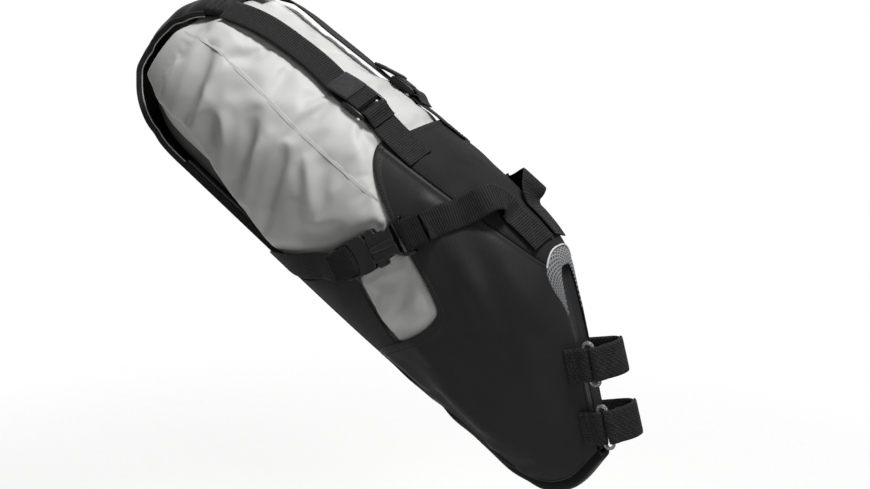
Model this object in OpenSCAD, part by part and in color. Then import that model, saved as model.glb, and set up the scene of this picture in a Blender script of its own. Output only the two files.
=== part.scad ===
// Saddle bag: a sewn holster with a packed dry bag, strapped to a seat post.
// Frame: +X forward, +Y to the left, +Z up, origin on the post axis midway between the post straps.

/* [Post] */
// Diameter of the seat post
post_d = 30.9; // [27:0.1:34]
// Backward lean of the post, degrees
post_lean = 15; // [10:1:20]
// Gap between the post and the front panel
post_gap = 0.6; // [0.3:0.1:1.5]
// Distance between the middles of the two post straps
strap_pitch = 54; // [48:1:66]
// Width of the post straps
post_strap_w = 28; // [22:1:32]
// Thickness of the post straps
post_strap_t = 1.6; // [1.2:0.1:2]

/* [Bag] */
// Tilt of the long axis above level, degrees
bag_tilt = 33; // [28:1:38]
// Underside below the origin, square to the long axis
bag_low = 110; // [100:1:120]
// Roof above the origin, square to the long axis
bag_high = 75; // [68:1:84]
// Greatest width of the packed bag
bag_w = 168; // [150:1:186]
// Rear end from the origin, along the long axis
bag_len = 512; // [490:1:550]
// Length of the rounded rear end
dome_len = 97; // [85:1:105]
// Width of the nose against the post
nose_w = 26; // [22:1:30]
// Length over which the nose widens to full width
taper_len = 320; // [290:1:350]
// Front panel below the origin, along the post
front_low = 54; // [50:1:60]
// Front panel above the origin, along the post
front_high = 109; // [100:1:116]

/* [Holster] */
// Thickness of the side, top and mesh panels
panel_t = 2; // [1.2:0.1:2.6]
// Thickness of the padded base panel
base_t = 5; // [4:0.1:6]
// Thickness of the stiffener sheet in the base
sheet_t = 2; // [1:0.1:2.4]
// Thickness of the tail panel
tail_t = 5; // [3:0.1:6]
// Gap left at each seam
seam_gap = 0.4; // [0.3:0.1:0.6]
// Angle of the roof seam from the roof line, degrees
roof_seam = 34; // [31:1:37]
// Angle of the base seam from the roof line, degrees
base_seam = 147; // [144:1:150]
// Rear edge of the holster at the wings
wing_edge = 267; // [258:1:274]
// Foremost point of the window
window_edge = 130; // [122:1:140]
// Angle of the window's foremost point, degrees
window_angle = 90; // [86:1:96]
// Rear edge of the side panel at the base
foot_edge = 175; // [168:1:182]
// Rear end of the gusset at the base
gusset_end = 266; // [256:1:276]
// Depth of the mesh at the top of the nose
mesh_depth = 28; // [22:1:36]
// Half width of the tail panel at its start
tail_half = 46; // [40:1:52]
// Half width of the tail panel at its hem
hem_half = 38; // [34:1:44]
// Angle round the rear end at which the tail stops, degrees
tail_stop = 140; // [134:1:146]

/* [Dry bag] */
// Gap between the dry bag and the panels round it
bag_gap = 0.6; // [0.4:0.1:1.2]
// How far the packed load pushes the dry bag out between the straps
bag_puff = 2.6; // [0:0.1:3.5]
// Height of the main folds of the dry bag
bag_fold = 5; // [0:0.1:6]
// How far the sides of the dry bag turn in above the base
low_in = 12; // [6:0.5:14]
// Length of the rolled closure
roll_len = 64; // [50:1:66]
// Thickness of the rolled closure
roll_t = 14; // [11:1:14]
// Width of the rolled closure
roll_w = 38; // [30:1:40]

/* [Webbing and buckles] */
// Width of the webbing
web_w = 25; // [22:0.5:26]
// Thickness of the webbing
web_t = 1.5; // [1:0.1:1.7]
// Gap between webbing and what it lies on or passes round
web_gap = 0.35; // [0.3:0.05:0.5]
// Radius of the bars that webbing passes round
bar_r = 2; // [1.6:0.1:2.2]
// Gap in the sliding and turning fits of the buckles
fit_gap = 0.35; // [0.3:0.05:0.45]
// Wall of the buckle socket
socket_wall = 2; // [1.8:0.1:2.2]
// Width of the buckle socket
socket_w = 33; // [32:0.5:36]
// Wire diameter of the post strap rings
ring_wire = 3; // [2.4:0.1:3.4]

/* [Hidden] */
$fn = 48;

coated_black = "#1c1c1d";
woven_black = "#303031";
webbing_black = "#242425";
plastic_black = "#161617";
mesh_grey = "#8e9092";
bag_grey = "#b0b0ae";

post_r = post_d / 2;
dome_start = bag_len - dome_len;
front_tilt = post_lean + bag_tilt;

// Place of a point in the bag's own frame: along the axis, across, and square to the axis.
function place(s, y, n) =
    [n * sin(bag_tilt) - s * cos(bag_tilt), y, s * sin(bag_tilt) + n * cos(bag_tilt)];
function unit(v) = v / norm(v);
function sum(v) = [for (x = v) 1] * v;
function power(v, e) = sign(v) * pow(abs(v), e);
function ease(v) = let (u = min(max(v, 0), 1)) u * u * (3 - 2 * u);
function lerp(a, b, u) = a + (b - a) * u;

// Point on the rear side of the post, at a distance up the post.
function post_back(q) = let (d = post_r + post_gap)
    [q * sin(front_tilt) + d * cos(front_tilt), q * cos(front_tilt) - d * sin(front_tilt)];
nose_base = post_back(-front_low);
nose_roof = post_back(front_high);

// Ribs of the bag: distance along it, base point, roof point and squareness of the section.
ribs = [
    [0, nose_base[0], nose_base[1], nose_roof[0], nose_roof[1], 4],
    [20, nose_base[0] + 5, 18 - bag_low, nose_roof[0] + 10, bag_high - 8, 3.4],
    [50, nose_base[0] + 33, -4 - bag_low, nose_roof[0] + 25, bag_high - 3, 2.9],
    [100, 72, -3 - bag_low, 149, bag_high, 2.6],
    [170, 162, -1 - bag_low, 196, bag_high, 2.35],
    [260, 260, -bag_low, 262, bag_high - 2, 2.1],
    [dome_start, dome_start, 3 - bag_low, dome_start, bag_high - 12, 2]];
last_rib = len(ribs) - 1;
// Power that rounds the rear end, and how far its middle drops
dome_round = 2.25;
dome_drop = 12;
// Power of the widening from nose to full width
taper_power = 2.5;

function rib_slope(i) = let (a = max(i - 1, 0), b = min(i + 1, last_rib))
    (ribs[b] - ribs[a]) / (ribs[b][0] - ribs[a][0]);
function rib_index(t, i = 0) = (i == last_rib - 1 || t < ribs[i + 1][0]) ? i : rib_index(t, i + 1);
function curve(t, i) = let (h = ribs[i + 1][0] - ribs[i][0], u = (t - ribs[i][0]) / h, v = 1 - u)
    ribs[i] * (1 + 2 * u) * v * v + rib_slope(i) * h * u * v * v
    + ribs[i + 1] * u * u * (3 - 2 * u) - rib_slope(i + 1) * h * u * u * v;
function dome_share(t) = let (k = min((t - dome_start) / dome_len, 0.9999))
    pow(1 - pow(k, dome_round), 1 / dome_round);
function dome_rib(t) = let (r = ribs[last_rib], f = dome_share(t), k = (t - dome_start) / dome_len,
    mid = (r[2] + r[4]) / 2 - dome_drop * k * k, h = (r[4] - r[2]) / 2 * f)
    [t, t, mid - h, t, mid + h, r[5]];
function rib(t) = t <= dome_start ? curve(t, rib_index(t)) : dome_rib(t);
function half_width(t) =
    (bag_w / 2 - (bag_w - nose_w) / 2 * pow(1 - min(t / taper_len, 1), taper_power))
    * (t <= dome_start ? 1 : dome_share(t));

// Point on the bag's outer surface: t along the bag, a degrees round it from the roof to the right.
function skin(t, a) = let (r = rib(t), e = 2 / r[5], c = power(cos(a), e), b = power(sin(a), e))
    place((r[1] + r[3] + (r[3] - r[1]) * c) / 2, -half_width(t) * b,
        (r[2] + r[4] + (r[4] - r[2]) * c) / 2);
function skin_out(t, a) = let (u = min(t, bag_len - 2))
    unit(cross(skin(u + 1, a) - skin(u - 1, a), skin(t, a + 0.5) - skin(t, a - 0.5)));
function on(t, a, d) = skin(t, a) + d * skin_out(t, a);

// Point on the rear end for the tail: p degrees round the end from below, y across.
function tail_skin(p, y) = let (w = half_width(dome_start), r = ribs[last_rib], g = abs(y) / w,
    reach = pow(1 - pow(g, dome_round), 1 / dome_round), k = reach * sin(p), t = dome_start + k * dome_len,
    f = dome_share(t), h = (r[4] - r[2]) / 2, mid = (r[2] + r[4]) / 2 - dome_drop * k * k)
    place(t, y, mid - sign(cos(p)) * h * sqrt(max(f * f - g * g, 0)));
function tail_out(p, y) =
    unit(cross(tail_skin(p + 1, y) - tail_skin(p - 1, y), tail_skin(p, y + 1) - tail_skin(p, y - 1)));
function tail_on(p, y, d) = tail_skin(p, y) + d * tail_out(p, y);

// Closed slab between two grids of points, the first one on its outer side.
module slab(outer, inner) {
    n = len(outer);
    m = len(outer[0]);
    points = concat([for (row = outer) each row], [for (row = inner) each row]);
    function o(i, j) = i * m + j;
    function q(i, j) = n * m + i * m + j;
    faces = concat(
        [for (i = [0:n - 2], j = [0:m - 2]) each [[o(i, j), o(i, j + 1), o(i + 1, j + 1)],
            [o(i, j), o(i + 1, j + 1), o(i + 1, j)], [q(i, j), q(i + 1, j + 1), q(i, j + 1)],
            [q(i, j), q(i + 1, j), q(i + 1, j + 1)]]],
        [for (j = [0:m - 2]) each [[o(0, j), q(0, j), q(0, j + 1)], [o(0, j), q(0, j + 1), o(0, j + 1)],
            [o(n - 1, j), q(n - 1, j + 1), q(n - 1, j)], [o(n - 1, j), o(n - 1, j + 1), q(n - 1, j + 1)]]],
        [for (i = [0:n - 2]) each [[o(i, 0), o(i + 1, 0), q(i + 1, 0)], [o(i, 0), q(i + 1, 0), q(i, 0)],
            [o(i, m - 1), q(i + 1, m - 1), o(i + 1, m - 1)], [o(i, m - 1), q(i, m - 1), q(i + 1, m - 1)]]]);
    polyhedron(points, faces);
}

// Closed body through rings of points, each end a fan from its middle.
function middle(ring) = [for (p = ring) 1] * ring / len(ring);
module body(rings) {
    m = len(rings);
    n = len(rings[0]);
    polyhedron(concat([for (ring = rings) each ring], [middle(rings[0]), middle(rings[m - 1])]), concat(
        [for (i = [0:m - 2], j = [0:n - 1]) let (k = (j + 1) % n)
            each [[i * n + j, i * n + k, (i + 1) * n + k], [i * n + j, (i + 1) * n + k, (i + 1) * n + j]]],
        [for (j = [0:n - 1]) let (k = (j + 1) % n)
            each [[m * n, k, j], [m * n + 1, m * n - n + j, m * n - n + k]]]));
}

// Panel on the surface: each row of the grid holds pairs of t and a.
module panel(grid, top, bottom) {
    slab([for (row = grid) [for (g = row) on(g[0], g[1], top)]],
        [for (row = grid) [for (g = row) on(g[0], g[1], bottom)]]);
}

// Webbing along a path of points, each with the direction out of its face.
module webbing(path, outs, w = web_w, t = web_t) {
    n = len(path);
    along = [for (i = [0:n - 1]) unit(path[min(i + 1, n - 1)] - path[max(i - 1, 0)])];
    across = [for (i = [0:n - 1]) unit(cross(outs[i], along[i]))];
    face = [for (i = [0:n - 1]) cross(along[i], across[i])];
    slab([for (i = [0:n - 1]) [path[i] - across[i] * w / 2 + face[i] * t / 2,
            path[i] + across[i] * w / 2 + face[i] * t / 2]],
        [for (i = [0:n - 1]) [path[i] - across[i] * w / 2 - face[i] * t / 2,
            path[i] + across[i] * w / 2 - face[i] * t / 2]]);
}

// Frame of a rigid piece on the surface: origin, then its x, y and z directions.
function seat(t, a, d, t2, a2) = let (o = on(t, a, d), z = skin_out(t, a), v = on(t2, a2, d) - o,
    x = unit(v - z * (v * z))) [o, x, cross(z, x), z];
function in_seat(f, x, y, z) = f[0] + f[1] * x + f[2] * y + f[3] * z;
// Direction out of webbing in the plane y = 0 of a frame, from its slope in degrees
function seat_face(f, slope) = f[3] * cos(slope) - f[1] * sin(slope);
module seated(f) {
    multmatrix([for (i = [0:2]) [f[1][i], f[2][i], f[3][i], f[0][i]]]) children();
}
module left() {
    mirror([0, 1, 0]) children();
}

// Box from its low and high corners
module block(low, high) {
    translate(low) cube(high - low);
}
module bar_across(x, z, r, l) {
    translate([x, 0, z]) rotate([90, 0, 0]) cylinder(r = r, h = l, center = true);
}

// Edges of the holster panels
mesh_low = 76;
function front_edge(a) = 1.5 + mesh_depth * ease((mesh_low - abs(a)) / (mesh_low - roof_seam));
function rear_edge(a) = let (stop = a < window_angle ? roof_seam : base_seam,
    end = a < window_angle ? wing_edge : foot_edge,
    u = min(abs((a - window_angle) / (stop - window_angle)), 1))
    window_edge + (end - window_edge) * sin(90 * pow(u, 1.2));
// Rows are denser where the window edge turns
side_rows = 16;
side_columns = 18;
seam_turn = 0.9;
// Columns lie closer together towards the nose
function spread(i, n) = pow(i / n, 1.6);

module side_panel() {
    color(coated_black) panel([for (i = [0:side_columns])
        [for (j = [0:side_rows]) let (a = lerp(roof_seam + seam_turn, base_seam - seam_turn, j / side_rows))
            [lerp(front_edge(a) + seam_gap, rear_edge(a), spread(i, side_columns)), a]]], 0, -panel_t);
}
module side_panel_right() {
    side_panel();
}
module side_panel_left() {
    left() side_panel();
}

// The top panel's rear edge is cut a little forward between the wings.
top_columns = 12;
top_rows = 8;
top_cut = 10;
module top_panel() {
    color(woven_black) panel([for (i = [0:top_columns])
        [for (j = [0:top_rows]) let (u = 2 * j / top_rows - 1, a = u * (roof_seam - seam_turn))
            [lerp(mesh_depth + 1.5 + seam_gap, wing_edge - top_cut * (1 - u * u), i / top_columns), a]]],
        0, -panel_t);
}

// Flat plate behind the post, inside the edges of the other panels
plate_sides = 32;
module front_panel() {
    function plate_ring(t) = [for (j = [0:plate_sides - 1]) let (a = 360 * j / plate_sides - 180)
        on(t, a, -lerp(panel_t, base_t, ease((abs(a) - 128) / (base_seam - 128))) - seam_gap)];
    color(coated_black) body([plate_ring(0.2), plate_ring(0.2 + panel_t)]);
}

mesh_columns = 3;
mesh_rows = 16;
module front_mesh() {
    color(mesh_grey) panel([for (i = [0:mesh_columns])
        [for (j = [0:mesh_rows]) let (a = lerp(-mesh_low, mesh_low, j / mesh_rows))
            [lerp(0, front_edge(a) - seam_gap, i / mesh_columns), a]]], 0, -panel_t);
}

// Piping along the upper edge of the mesh, a low bead on the panels
piping_h = 1.4;
piping_w = 2.4;
module mesh_piping() {
    color(mesh_grey) panel([for (i = [0:1])
        [for (j = [0:mesh_rows]) let (a = lerp(-roof_seam, roof_seam, j / mesh_rows))
            [front_edge(a) - 4 + piping_w * i, a]]], piping_h + 0.05, 0.05);
}

base_columns = 26;
base_rows = 8;
base_end = dome_start + 2;
function base_angle(j) = lerp(base_seam, 360 - base_seam, j / base_rows);
module base_panel() {
    color(coated_black) panel([for (i = [0:base_columns]) [for (j = [0:base_rows])
        [lerp(2, base_end, spread(i, base_columns)), base_angle(j)]]], 0, -base_t);
}
sheet_start = 30;
sheet_gap = seam_gap + 0.2;
module base_stiffener() {
    color(plastic_black) panel([for (i = [0:base_columns]) [for (j = [0:base_rows])
        [lerp(sheet_start, base_end, spread(i, base_columns)), lerp(180, base_angle(j), 0.9)]]],
        -base_t - sheet_gap, -base_t - sheet_gap - sheet_t);
}

tail_columns = 18;
tail_rows = 8;
tail_start = asin((2 + seam_gap) / dome_len);
function tail_edge(p) = lerp(tail_half, hem_half, ease((p - 60) / (tail_stop - 60)));
module tail_panel() {
    grid = [for (i = [0:tail_columns]) let (p = lerp(tail_start, tail_stop, i / tail_columns))
        [for (j = [0:tail_rows]) [p, lerp(-tail_edge(p), tail_edge(p), j / tail_rows)]]];
    color(coated_black) slab([for (row = grid) [for (g = row) tail_on(g[0], g[1], 0)]],
        [for (row = grid) [for (g = row) tail_on(g[0], g[1], -tail_t)]]);
}

// Thick hem that ends the tail on top of the bag
hem_turn = 13;
hem_high = 3;
hem_rows = 6;
module tail_hem() {
    grid = [for (i = [0:3]) let (p = tail_stop + 0.3 + hem_turn * i / 3)
        [for (j = [0:hem_rows]) [p, lerp(-hem_half, hem_half, j / hem_rows)]]];
    color(webbing_black) slab([for (row = grid) [for (g = row) tail_on(g[0], g[1], hem_high)]],
        [for (row = grid) [for (g = row) tail_on(g[0], g[1], -tail_t)]]);
}
hem_end = tail_stop + 0.3 + hem_turn;

// Loop of webbing in front of the hem, folded into a flat triangle seen from the side
loop_w = 20;
loop_len = 21;
loop_high = 10;
loop_off = 0.4;
loop_x = unit(tail_skin(hem_end + 1, 0) - tail_skin(hem_end - 1, 0));
loop_z = tail_out(hem_end, 0);
loop_seat = [tail_on(hem_end, 0, hem_high) + loop_x * loop_off, loop_x, cross(loop_z, loop_x), loop_z];
module pull_loop() {
    color(webbing_black) seated(loop_seat) rotate([90, 0, 0]) linear_extrude(loop_w, center = true)
        difference() {
            polygon([[0, -web_t], [loop_len - 3, loop_high - 8], [loop_len, loop_high - 5],
                [loop_len - 3, loop_high - 2], [0, 2 * web_t]]);
            polygon([[4, 0.6], [loop_len - 3.4, loop_high - 6.2], [loop_len - 1.8, loop_high - 5],
                [loop_len - 3.4, loop_high - 3.8], [4, 1.6]]);
        }
}

// Gusset: a raised fin between the base, the side panel and the window
gusset_top = 99;
gusset_turn = 119;
gusset_tip = [214, 222];
gusset_rows = 8;
function gusset_front(a) = a > gusset_turn ? rear_edge(a) + seam_gap
    : lerp(rear_edge(gusset_turn) + seam_gap, gusset_tip[0], (gusset_turn - a) / (gusset_turn - gusset_top));
function gusset_rear(a) = lerp(gusset_end, gusset_tip[1], (base_seam - a) / (base_seam - gusset_top));
module gusset() {
    color(woven_black) panel([for (i = [0:6]) [for (j = [0:gusset_rows])
        let (a = lerp(gusset_top, base_seam - seam_turn, j / gusset_rows))
            [lerp(gusset_front(a), gusset_rear(a), i / 6), a]]], 0, -panel_t);
}
module gusset_right() {
    gusset();
}
module gusset_left() {
    left() gusset();
}

// The dry bag lies inside the panels, further in over the padded base and under the tail.
bag_front = 18;
bag_back = bag_len - tail_t - roll_t - 2 * bag_gap - 8;
bag_sides = 38;
bag_steps = [[bag_front, 4], [window_edge, 7], [wing_edge - 5, 16], [dome_start + 40, 4], [bag_back, 0]];
side_in = panel_t + bag_gap;
base_in = base_t + sheet_gap + sheet_t + bag_gap;

// Its sides turn in above the base: the angle at which they do so, along the bag.
low_turn = [[wing_edge, base_seam], [310, 127], [353, 115], [394, 102], [470, 98]];
function low_share(t, a) = ease((abs(a) - lookup(t, low_turn)) / 18);
function end_share(t, a) = ease((t - dome_start - 5 - 28 * ease((abs(a) - 35) / 20)) / 28);
function bag_in(t, a) = low_in * low_share(t, a) * (1 - ease((abs(a) - base_seam - 3) / 12))
    + lerp(side_in, base_in, max(ease((abs(a) - 128) / (base_seam - 128)), end_share(t, a)));

// Main folds of each side: points of place and angle along the fold, then its share of the fold height
bag_folds = [[[[442, 54], [431, 70], [425, 88], [420, 108]], -1],
    [[[419, 72], [411, 85], [412, 97]], 0.6],
    [[[403, 86], [391, 99]], -0.6],
    [[[394, 80], [382, 86], [374, 99]], 0.6],
    [[[368, 73], [357, 86], [353, 101]], -0.6],
    [[[351, 75], [345, 90], [339, 105]], 0.6],
    [[[330, 71], [321, 88], [315, 105]], -0.65],
    [[[309, 68], [293, 76], [277, 90]], 0.65],
    [[[293, 92], [274, 105]], -0.5]];
fold_w = 11;
degree_len = 1.45;
function segment_gap(p, a, b) = let (v = b - a, u = min(max((p - a) * v / (v * v), 0), 1))
    norm(p - a - u * v);
function line_gap(p, line) = min([for (i = [0:len(line) - 2]) segment_gap(p,
    [line[i][0], line[i][1] * degree_len], [line[i + 1][0], line[i + 1][1] * degree_len])]);
function fold_at(t, a) = sum([for (f = bag_folds)
    f[1] * exp(-pow(line_gap([t, a * degree_len], f[0]) / fold_w, 2))]);

// The load pushes the dry bag out where no panel, strap, buckle or tail lies on it.
strap_reach = web_w / 2 + 7;
strap_angle = 21;
side_line = [[165, 52], [292, 148]];
side_way = unit([side_line[1][0] - side_line[0][0], (side_line[1][1] - side_line[0][1]) * degree_len]);
function side_off(t, a) = (t - side_line[0][0]) * side_way[1]
    - (a - side_line[0][1]) * degree_len * side_way[0];
function strap_clear(d) = ease((abs(d) - strap_reach) / 12);
function bag_cover(a) = a < roof_seam ? wing_edge : a > gusset_top - 6 ? gusset_rear(a) : rear_edge(a);
function bag_loose(t, a) = ease((t - bag_cover(a) - 17) / 20) * (1 - low_share(t, a))
    * (1 - end_share(t, a)) * strap_clear((a - strap_angle) * degree_len)
    * strap_clear(side_off(t, a));
function bag_out(t, a) = bag_loose(t, abs(a)) * (bag_puff + bag_fold * fold_at(t, abs(a))) - bag_in(t, a);
module dry_bag() {
    stations = concat([for (k = [0:len(bag_steps) - 2]) each [for (i = [0:bag_steps[k][1] - 1])
        lerp(bag_steps[k][0], bag_steps[k + 1][0], i / bag_steps[k][1])]], [bag_back]);
    color(bag_grey) body([for (t = stations)
        [for (j = [0:bag_sides - 1]) let (a = 360 * j / bag_sides - 180) on(t, a, bag_out(t, a))]]);
}

// Rolled closure behind the dry bag, standing along the tail
module roll_closure() {
    back_rib = rib(bag_back);
    color(bag_grey) translate(place(bag_back, 0, (back_rib[2] + back_rib[4]) / 2)) rotate([0, bag_tilt, 0])
        translate([-bag_gap - roll_t / 2, 0, 0])
        linear_extrude(roll_len, center = true) {
            square([roll_t, roll_w - roll_t], center = true);
            for (side = [-1, 1]) translate([0, side * (roll_w - roll_t) / 2]) circle(d = roll_t);
        }
}

// Ladder lock: two rails, a bar for the anchor webbing and two bars for the strap
lock_seat = seat(305, 22, 1.2, 290, 22);
lock_bar_x = 11;
lock_bar_z = 4.2;
lock_half = web_w / 2 + 0.7;
lock_rail = 2.8;
lock_h = 8;
lock_low = web_t + 2 * web_gap;
lock_top = 6.2;
module ladder_lock() {
    color(plastic_black) seated(lock_seat) {
        for (side = [-1, 1]) translate([0, side * (lock_half + lock_rail / 2), 0])
            rotate([90, 0, 0]) linear_extrude(lock_rail, center = true)
                polygon([[-13, 2.2], [-13, lock_h], [2, lock_h], [lock_bar_x + 3, lock_bar_z + 2.6],
                    [lock_bar_x + 3, lock_bar_z - 2.2], [-8, 0.4]]);
        bar_across(lock_bar_x, lock_bar_z, bar_r, 2 * lock_half + 0.2);
        rotate([90, 0, 0]) linear_extrude(2 * lock_half + 0.2, center = true)
            polygon([[-2.5, lock_low], [1, lock_low], [2.5, lock_low + 1.5], [2.5, lock_top - 1.5],
                [1, lock_top], [-2.5, lock_top]]);
        block([-11.5, -lock_half - 0.1, lock_low], [-7, lock_half + 0.1, lock_top]);
    }
}
module ladder_lock_right() {
    ladder_lock();
}
module ladder_lock_left() {
    left() ladder_lock();
}

// Adjusting strap: from the hem along the roof, under the lock, round its bar and back as a tail
strap_low = web_gap + web_t / 2;
strap_high = lock_top + web_gap + web_t / 2;
strap_turn = 2.5 + web_gap + web_t / 2;
roof_line = [[bag_len - 58, 26, 2.2], [bag_len - 72, 25, 3.8], [bag_len - 91, 22, 4.6],
    [bag_len - 125, 19.4, 4.4], [357, 19.4, 3.8], [338, 20.8, 3]];
module top_strap() {
    lock_points = [[-21, strap_low, 0], [-10, strap_low, 0], [0, strap_low, 0],
        [strap_turn - 1.2, strap_low + 0.2, 20], [strap_turn - 0.3, strap_low + 1, 60],
        [strap_turn, (strap_low + strap_high) / 2, 90], [strap_turn - 0.3, strap_high - 1, 120],
        [strap_turn - 1.2, strap_high - 0.2, 160], [0, strap_high, 180], [-10, strap_high, 180],
        [-20, strap_high - 1.2, 170], [-31, strap_high - 3.4, 168]];
    color(webbing_black) webbing(
        concat([for (g = roof_line) on(g[0], g[1], g[2])],
            [for (g = lock_points) in_seat(lock_seat, g[0], 0, g[1])]),
        concat([for (g = roof_line) skin_out(g[0], g[1])],
            [for (g = lock_points) seat_face(lock_seat, g[2])]));
}
module top_strap_right() {
    top_strap();
}
module top_strap_left() {
    left() top_strap();
}

// Anchor webbing: sewn on the wing, up to the lock, round its bar and back on itself
anchor_r = bar_r + web_gap + web_t / 2;
module strap_anchor() {
    surface_points = [[226, 25.5, 1.15], [240, 25.2, 1.15], [254, 24.6, 1.3], [266, 24, 1.9]];
    turn_points = [for (w = [0:6]) let (q = -90 - 30 * w)
        [lock_bar_x + anchor_r * cos(q), lock_bar_z + anchor_r * sin(q), -30 * w]];
    lock_points = concat([[lock_bar_x + 8, lock_bar_z - anchor_r - 0.4, 0]], turn_points,
        [[lock_bar_x + 9, lock_bar_z + 0.2, 150], [lock_bar_x + 15, lock_bar_z - 1.2, 176]]);
    color(webbing_black) webbing(
        concat([for (g = surface_points) on(g[0], g[1], g[2])],
            [for (g = lock_points) in_seat(lock_seat, g[0], 0, g[1])]),
        concat([for (g = surface_points) skin_out(g[0], g[1])],
            [for (g = lock_points) seat_face(lock_seat, g[2])]));
}
module strap_anchor_right() {
    strap_anchor();
}
module strap_anchor_left() {
    left() strap_anchor();
}

// Side buckle, along x from the socket's bar to the plug's bars
buckle_seat = seat(204, 81.5, 1, 225, 97);
socket_end = -31;
socket_back = -23;
socket_mouth = 2;
socket_h = 10.4;
socket_half = socket_w / 2;
bar_mid = socket_h / 2 + 0.4;
cavity_half = socket_half - socket_wall - 1.6;
cavity_back = -18;
window_len = 9;
module buckle_socket() {
    color(plastic_black) seated(buckle_seat) {
        difference() {
            union() {
                block([socket_back, -socket_half, 0.4], [socket_mouth, socket_half, socket_h]);
                translate([socket_back, 0, socket_h - 1]) rotate([0, 90, 0])
                    cylinder(r = 3.6, h = socket_mouth - socket_back);
                for (side = [-1, 1]) translate([0, side * (socket_half - 1.6), 0])
                    block([socket_end - bar_r - 1, -1.6, bar_mid - 3], [socket_back + 0.1, 1.6, bar_mid + 3]);
                bar_across(socket_end, bar_mid, bar_r, socket_w - 1);
            }
            block([cavity_back, -cavity_half, 0.4 + socket_wall],
                [socket_mouth + 1, cavity_half, socket_h - socket_wall]);
            for (side = [-1, 1]) translate([-10, side * socket_half, 0])
                block([-window_len / 2, -5, 0.4 + socket_wall], [window_len / 2, 5, socket_h - socket_wall]);
        }
    }
}
module buckle_socket_right() {
    buckle_socket();
}
module buckle_socket_left() {
    left() buckle_socket();
}

// Plug: a block with pockets for the arms' eyes, a guide prong and a frame with two strap bars
plug_start = socket_mouth + fit_gap + 0.3;
plug_block = 16;
plug_half = socket_half - 1;
plug_bars = [22.5, 31.5];
arm_pivot = [7, cavity_half - 3.2];
arm_eye = 2.4;
arm_low = 0.4 + socket_wall + fit_gap;
arm_high = socket_h - socket_wall - fit_gap;
module buckle_plug() {
    rail = plug_half - web_w / 2 - 0.6;
    color(plastic_black) seated(buckle_seat) difference() {
        union() {
            block([plug_start, -plug_half, 0.8], [plug_block, plug_half, socket_h - 0.4]);
            block([-13, -2, arm_low + 1], [plug_start + 0.1, 2, arm_high - 1]);
            for (side = [-1, 1]) translate([0, side * (plug_half - rail / 2), 0])
                block([plug_block - 0.1, -rail / 2, bar_mid - 2.6],
                    [plug_bars[1] + bar_r + 0.8, rail / 2, bar_mid + 2.6]);
            for (x = plug_bars) bar_across(x, bar_mid, bar_r, 2 * plug_half - 1);
        }
        for (side = [-1, 1]) translate([arm_pivot[0], side * arm_pivot[1], arm_low - fit_gap]) {
            cylinder(r = arm_eye + fit_gap, h = arm_high - arm_low + 2 * fit_gap);
            block([-arm_pivot[0], -arm_eye - 1.2, 0], [0, arm_eye + 1.2, arm_high - arm_low + 2 * fit_gap]);
        }
    }
}
module buckle_plug_right() {
    buckle_plug();
}
module buckle_plug_left() {
    left() buckle_plug();
}

// Release arm: an eye in the plug and a sprung blade that ends in a rounded catch
module release_arm(side) {
    color(plastic_black) seated(buckle_seat) mirror([0, side < 0 ? 1 : 0, 0])
        translate([arm_pivot[0], arm_pivot[1], arm_low]) union() {
            cylinder(r = arm_eye, h = arm_high - arm_low);
            linear_extrude(arm_high - arm_low)
                polygon([[0, -1.3], [-12, -0.8], [-20, -1], [-22, 0.6], [-20, 2.2], [-14, 2], [0, 1.3]]);
        }
}
module release_arm_right_upper() {
    release_arm(-1);
}
module release_arm_right_lower() {
    release_arm(1);
}
module release_arm_left_upper() {
    left() release_arm(-1);
}
module release_arm_left_lower() {
    left() release_arm(1);
}

// Rail strap: stitched round the socket's bar, up over the shoulder, over a rail and down to the roof
rail_arch = 15;
buckle_turn_r = bar_r + web_gap + web_t / 2;
module rail_strap() {
    turn_points = [for (w = [0:6]) let (q = 90 - 30 * w)
        [socket_end + buckle_turn_r * cos(q), bar_mid + buckle_turn_r * sin(q), 180 - 30 * w]];
    lock_points = concat([[socket_end - 17, bar_mid - 0.3, 176], [socket_end - 9, bar_mid + 1.6, 166]],
        turn_points, [[socket_end - 7, bar_mid - buckle_turn_r - 0.6, 0]]);
    surface_points = [[168, 54.5, 1.15], [158, 46, 1.15], [148, 38.5, 1.8], [141, 33, 6], [134.5, 27.5, 12],
        [127, 21.5, rail_arch], [119, 16.5, 12], [110, 13.4, 5.5], [101, 12.6, 1.4], [88, 12.6, 1.2],
        [66, 13, 1.2], [46, 14, 1.2]];
    color(webbing_black) webbing(
        concat([for (g = lock_points) in_seat(buckle_seat, g[0], 0, g[1])],
            [for (g = surface_points) on(g[0], g[1], g[2])]),
        concat([for (g = lock_points) -seat_face(buckle_seat, g[2])],
            [for (g = surface_points) -skin_out(g[0], g[1])]));
}
module rail_strap_right() {
    rail_strap();
}
module rail_strap_left() {
    left() rail_strap();
}

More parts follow.
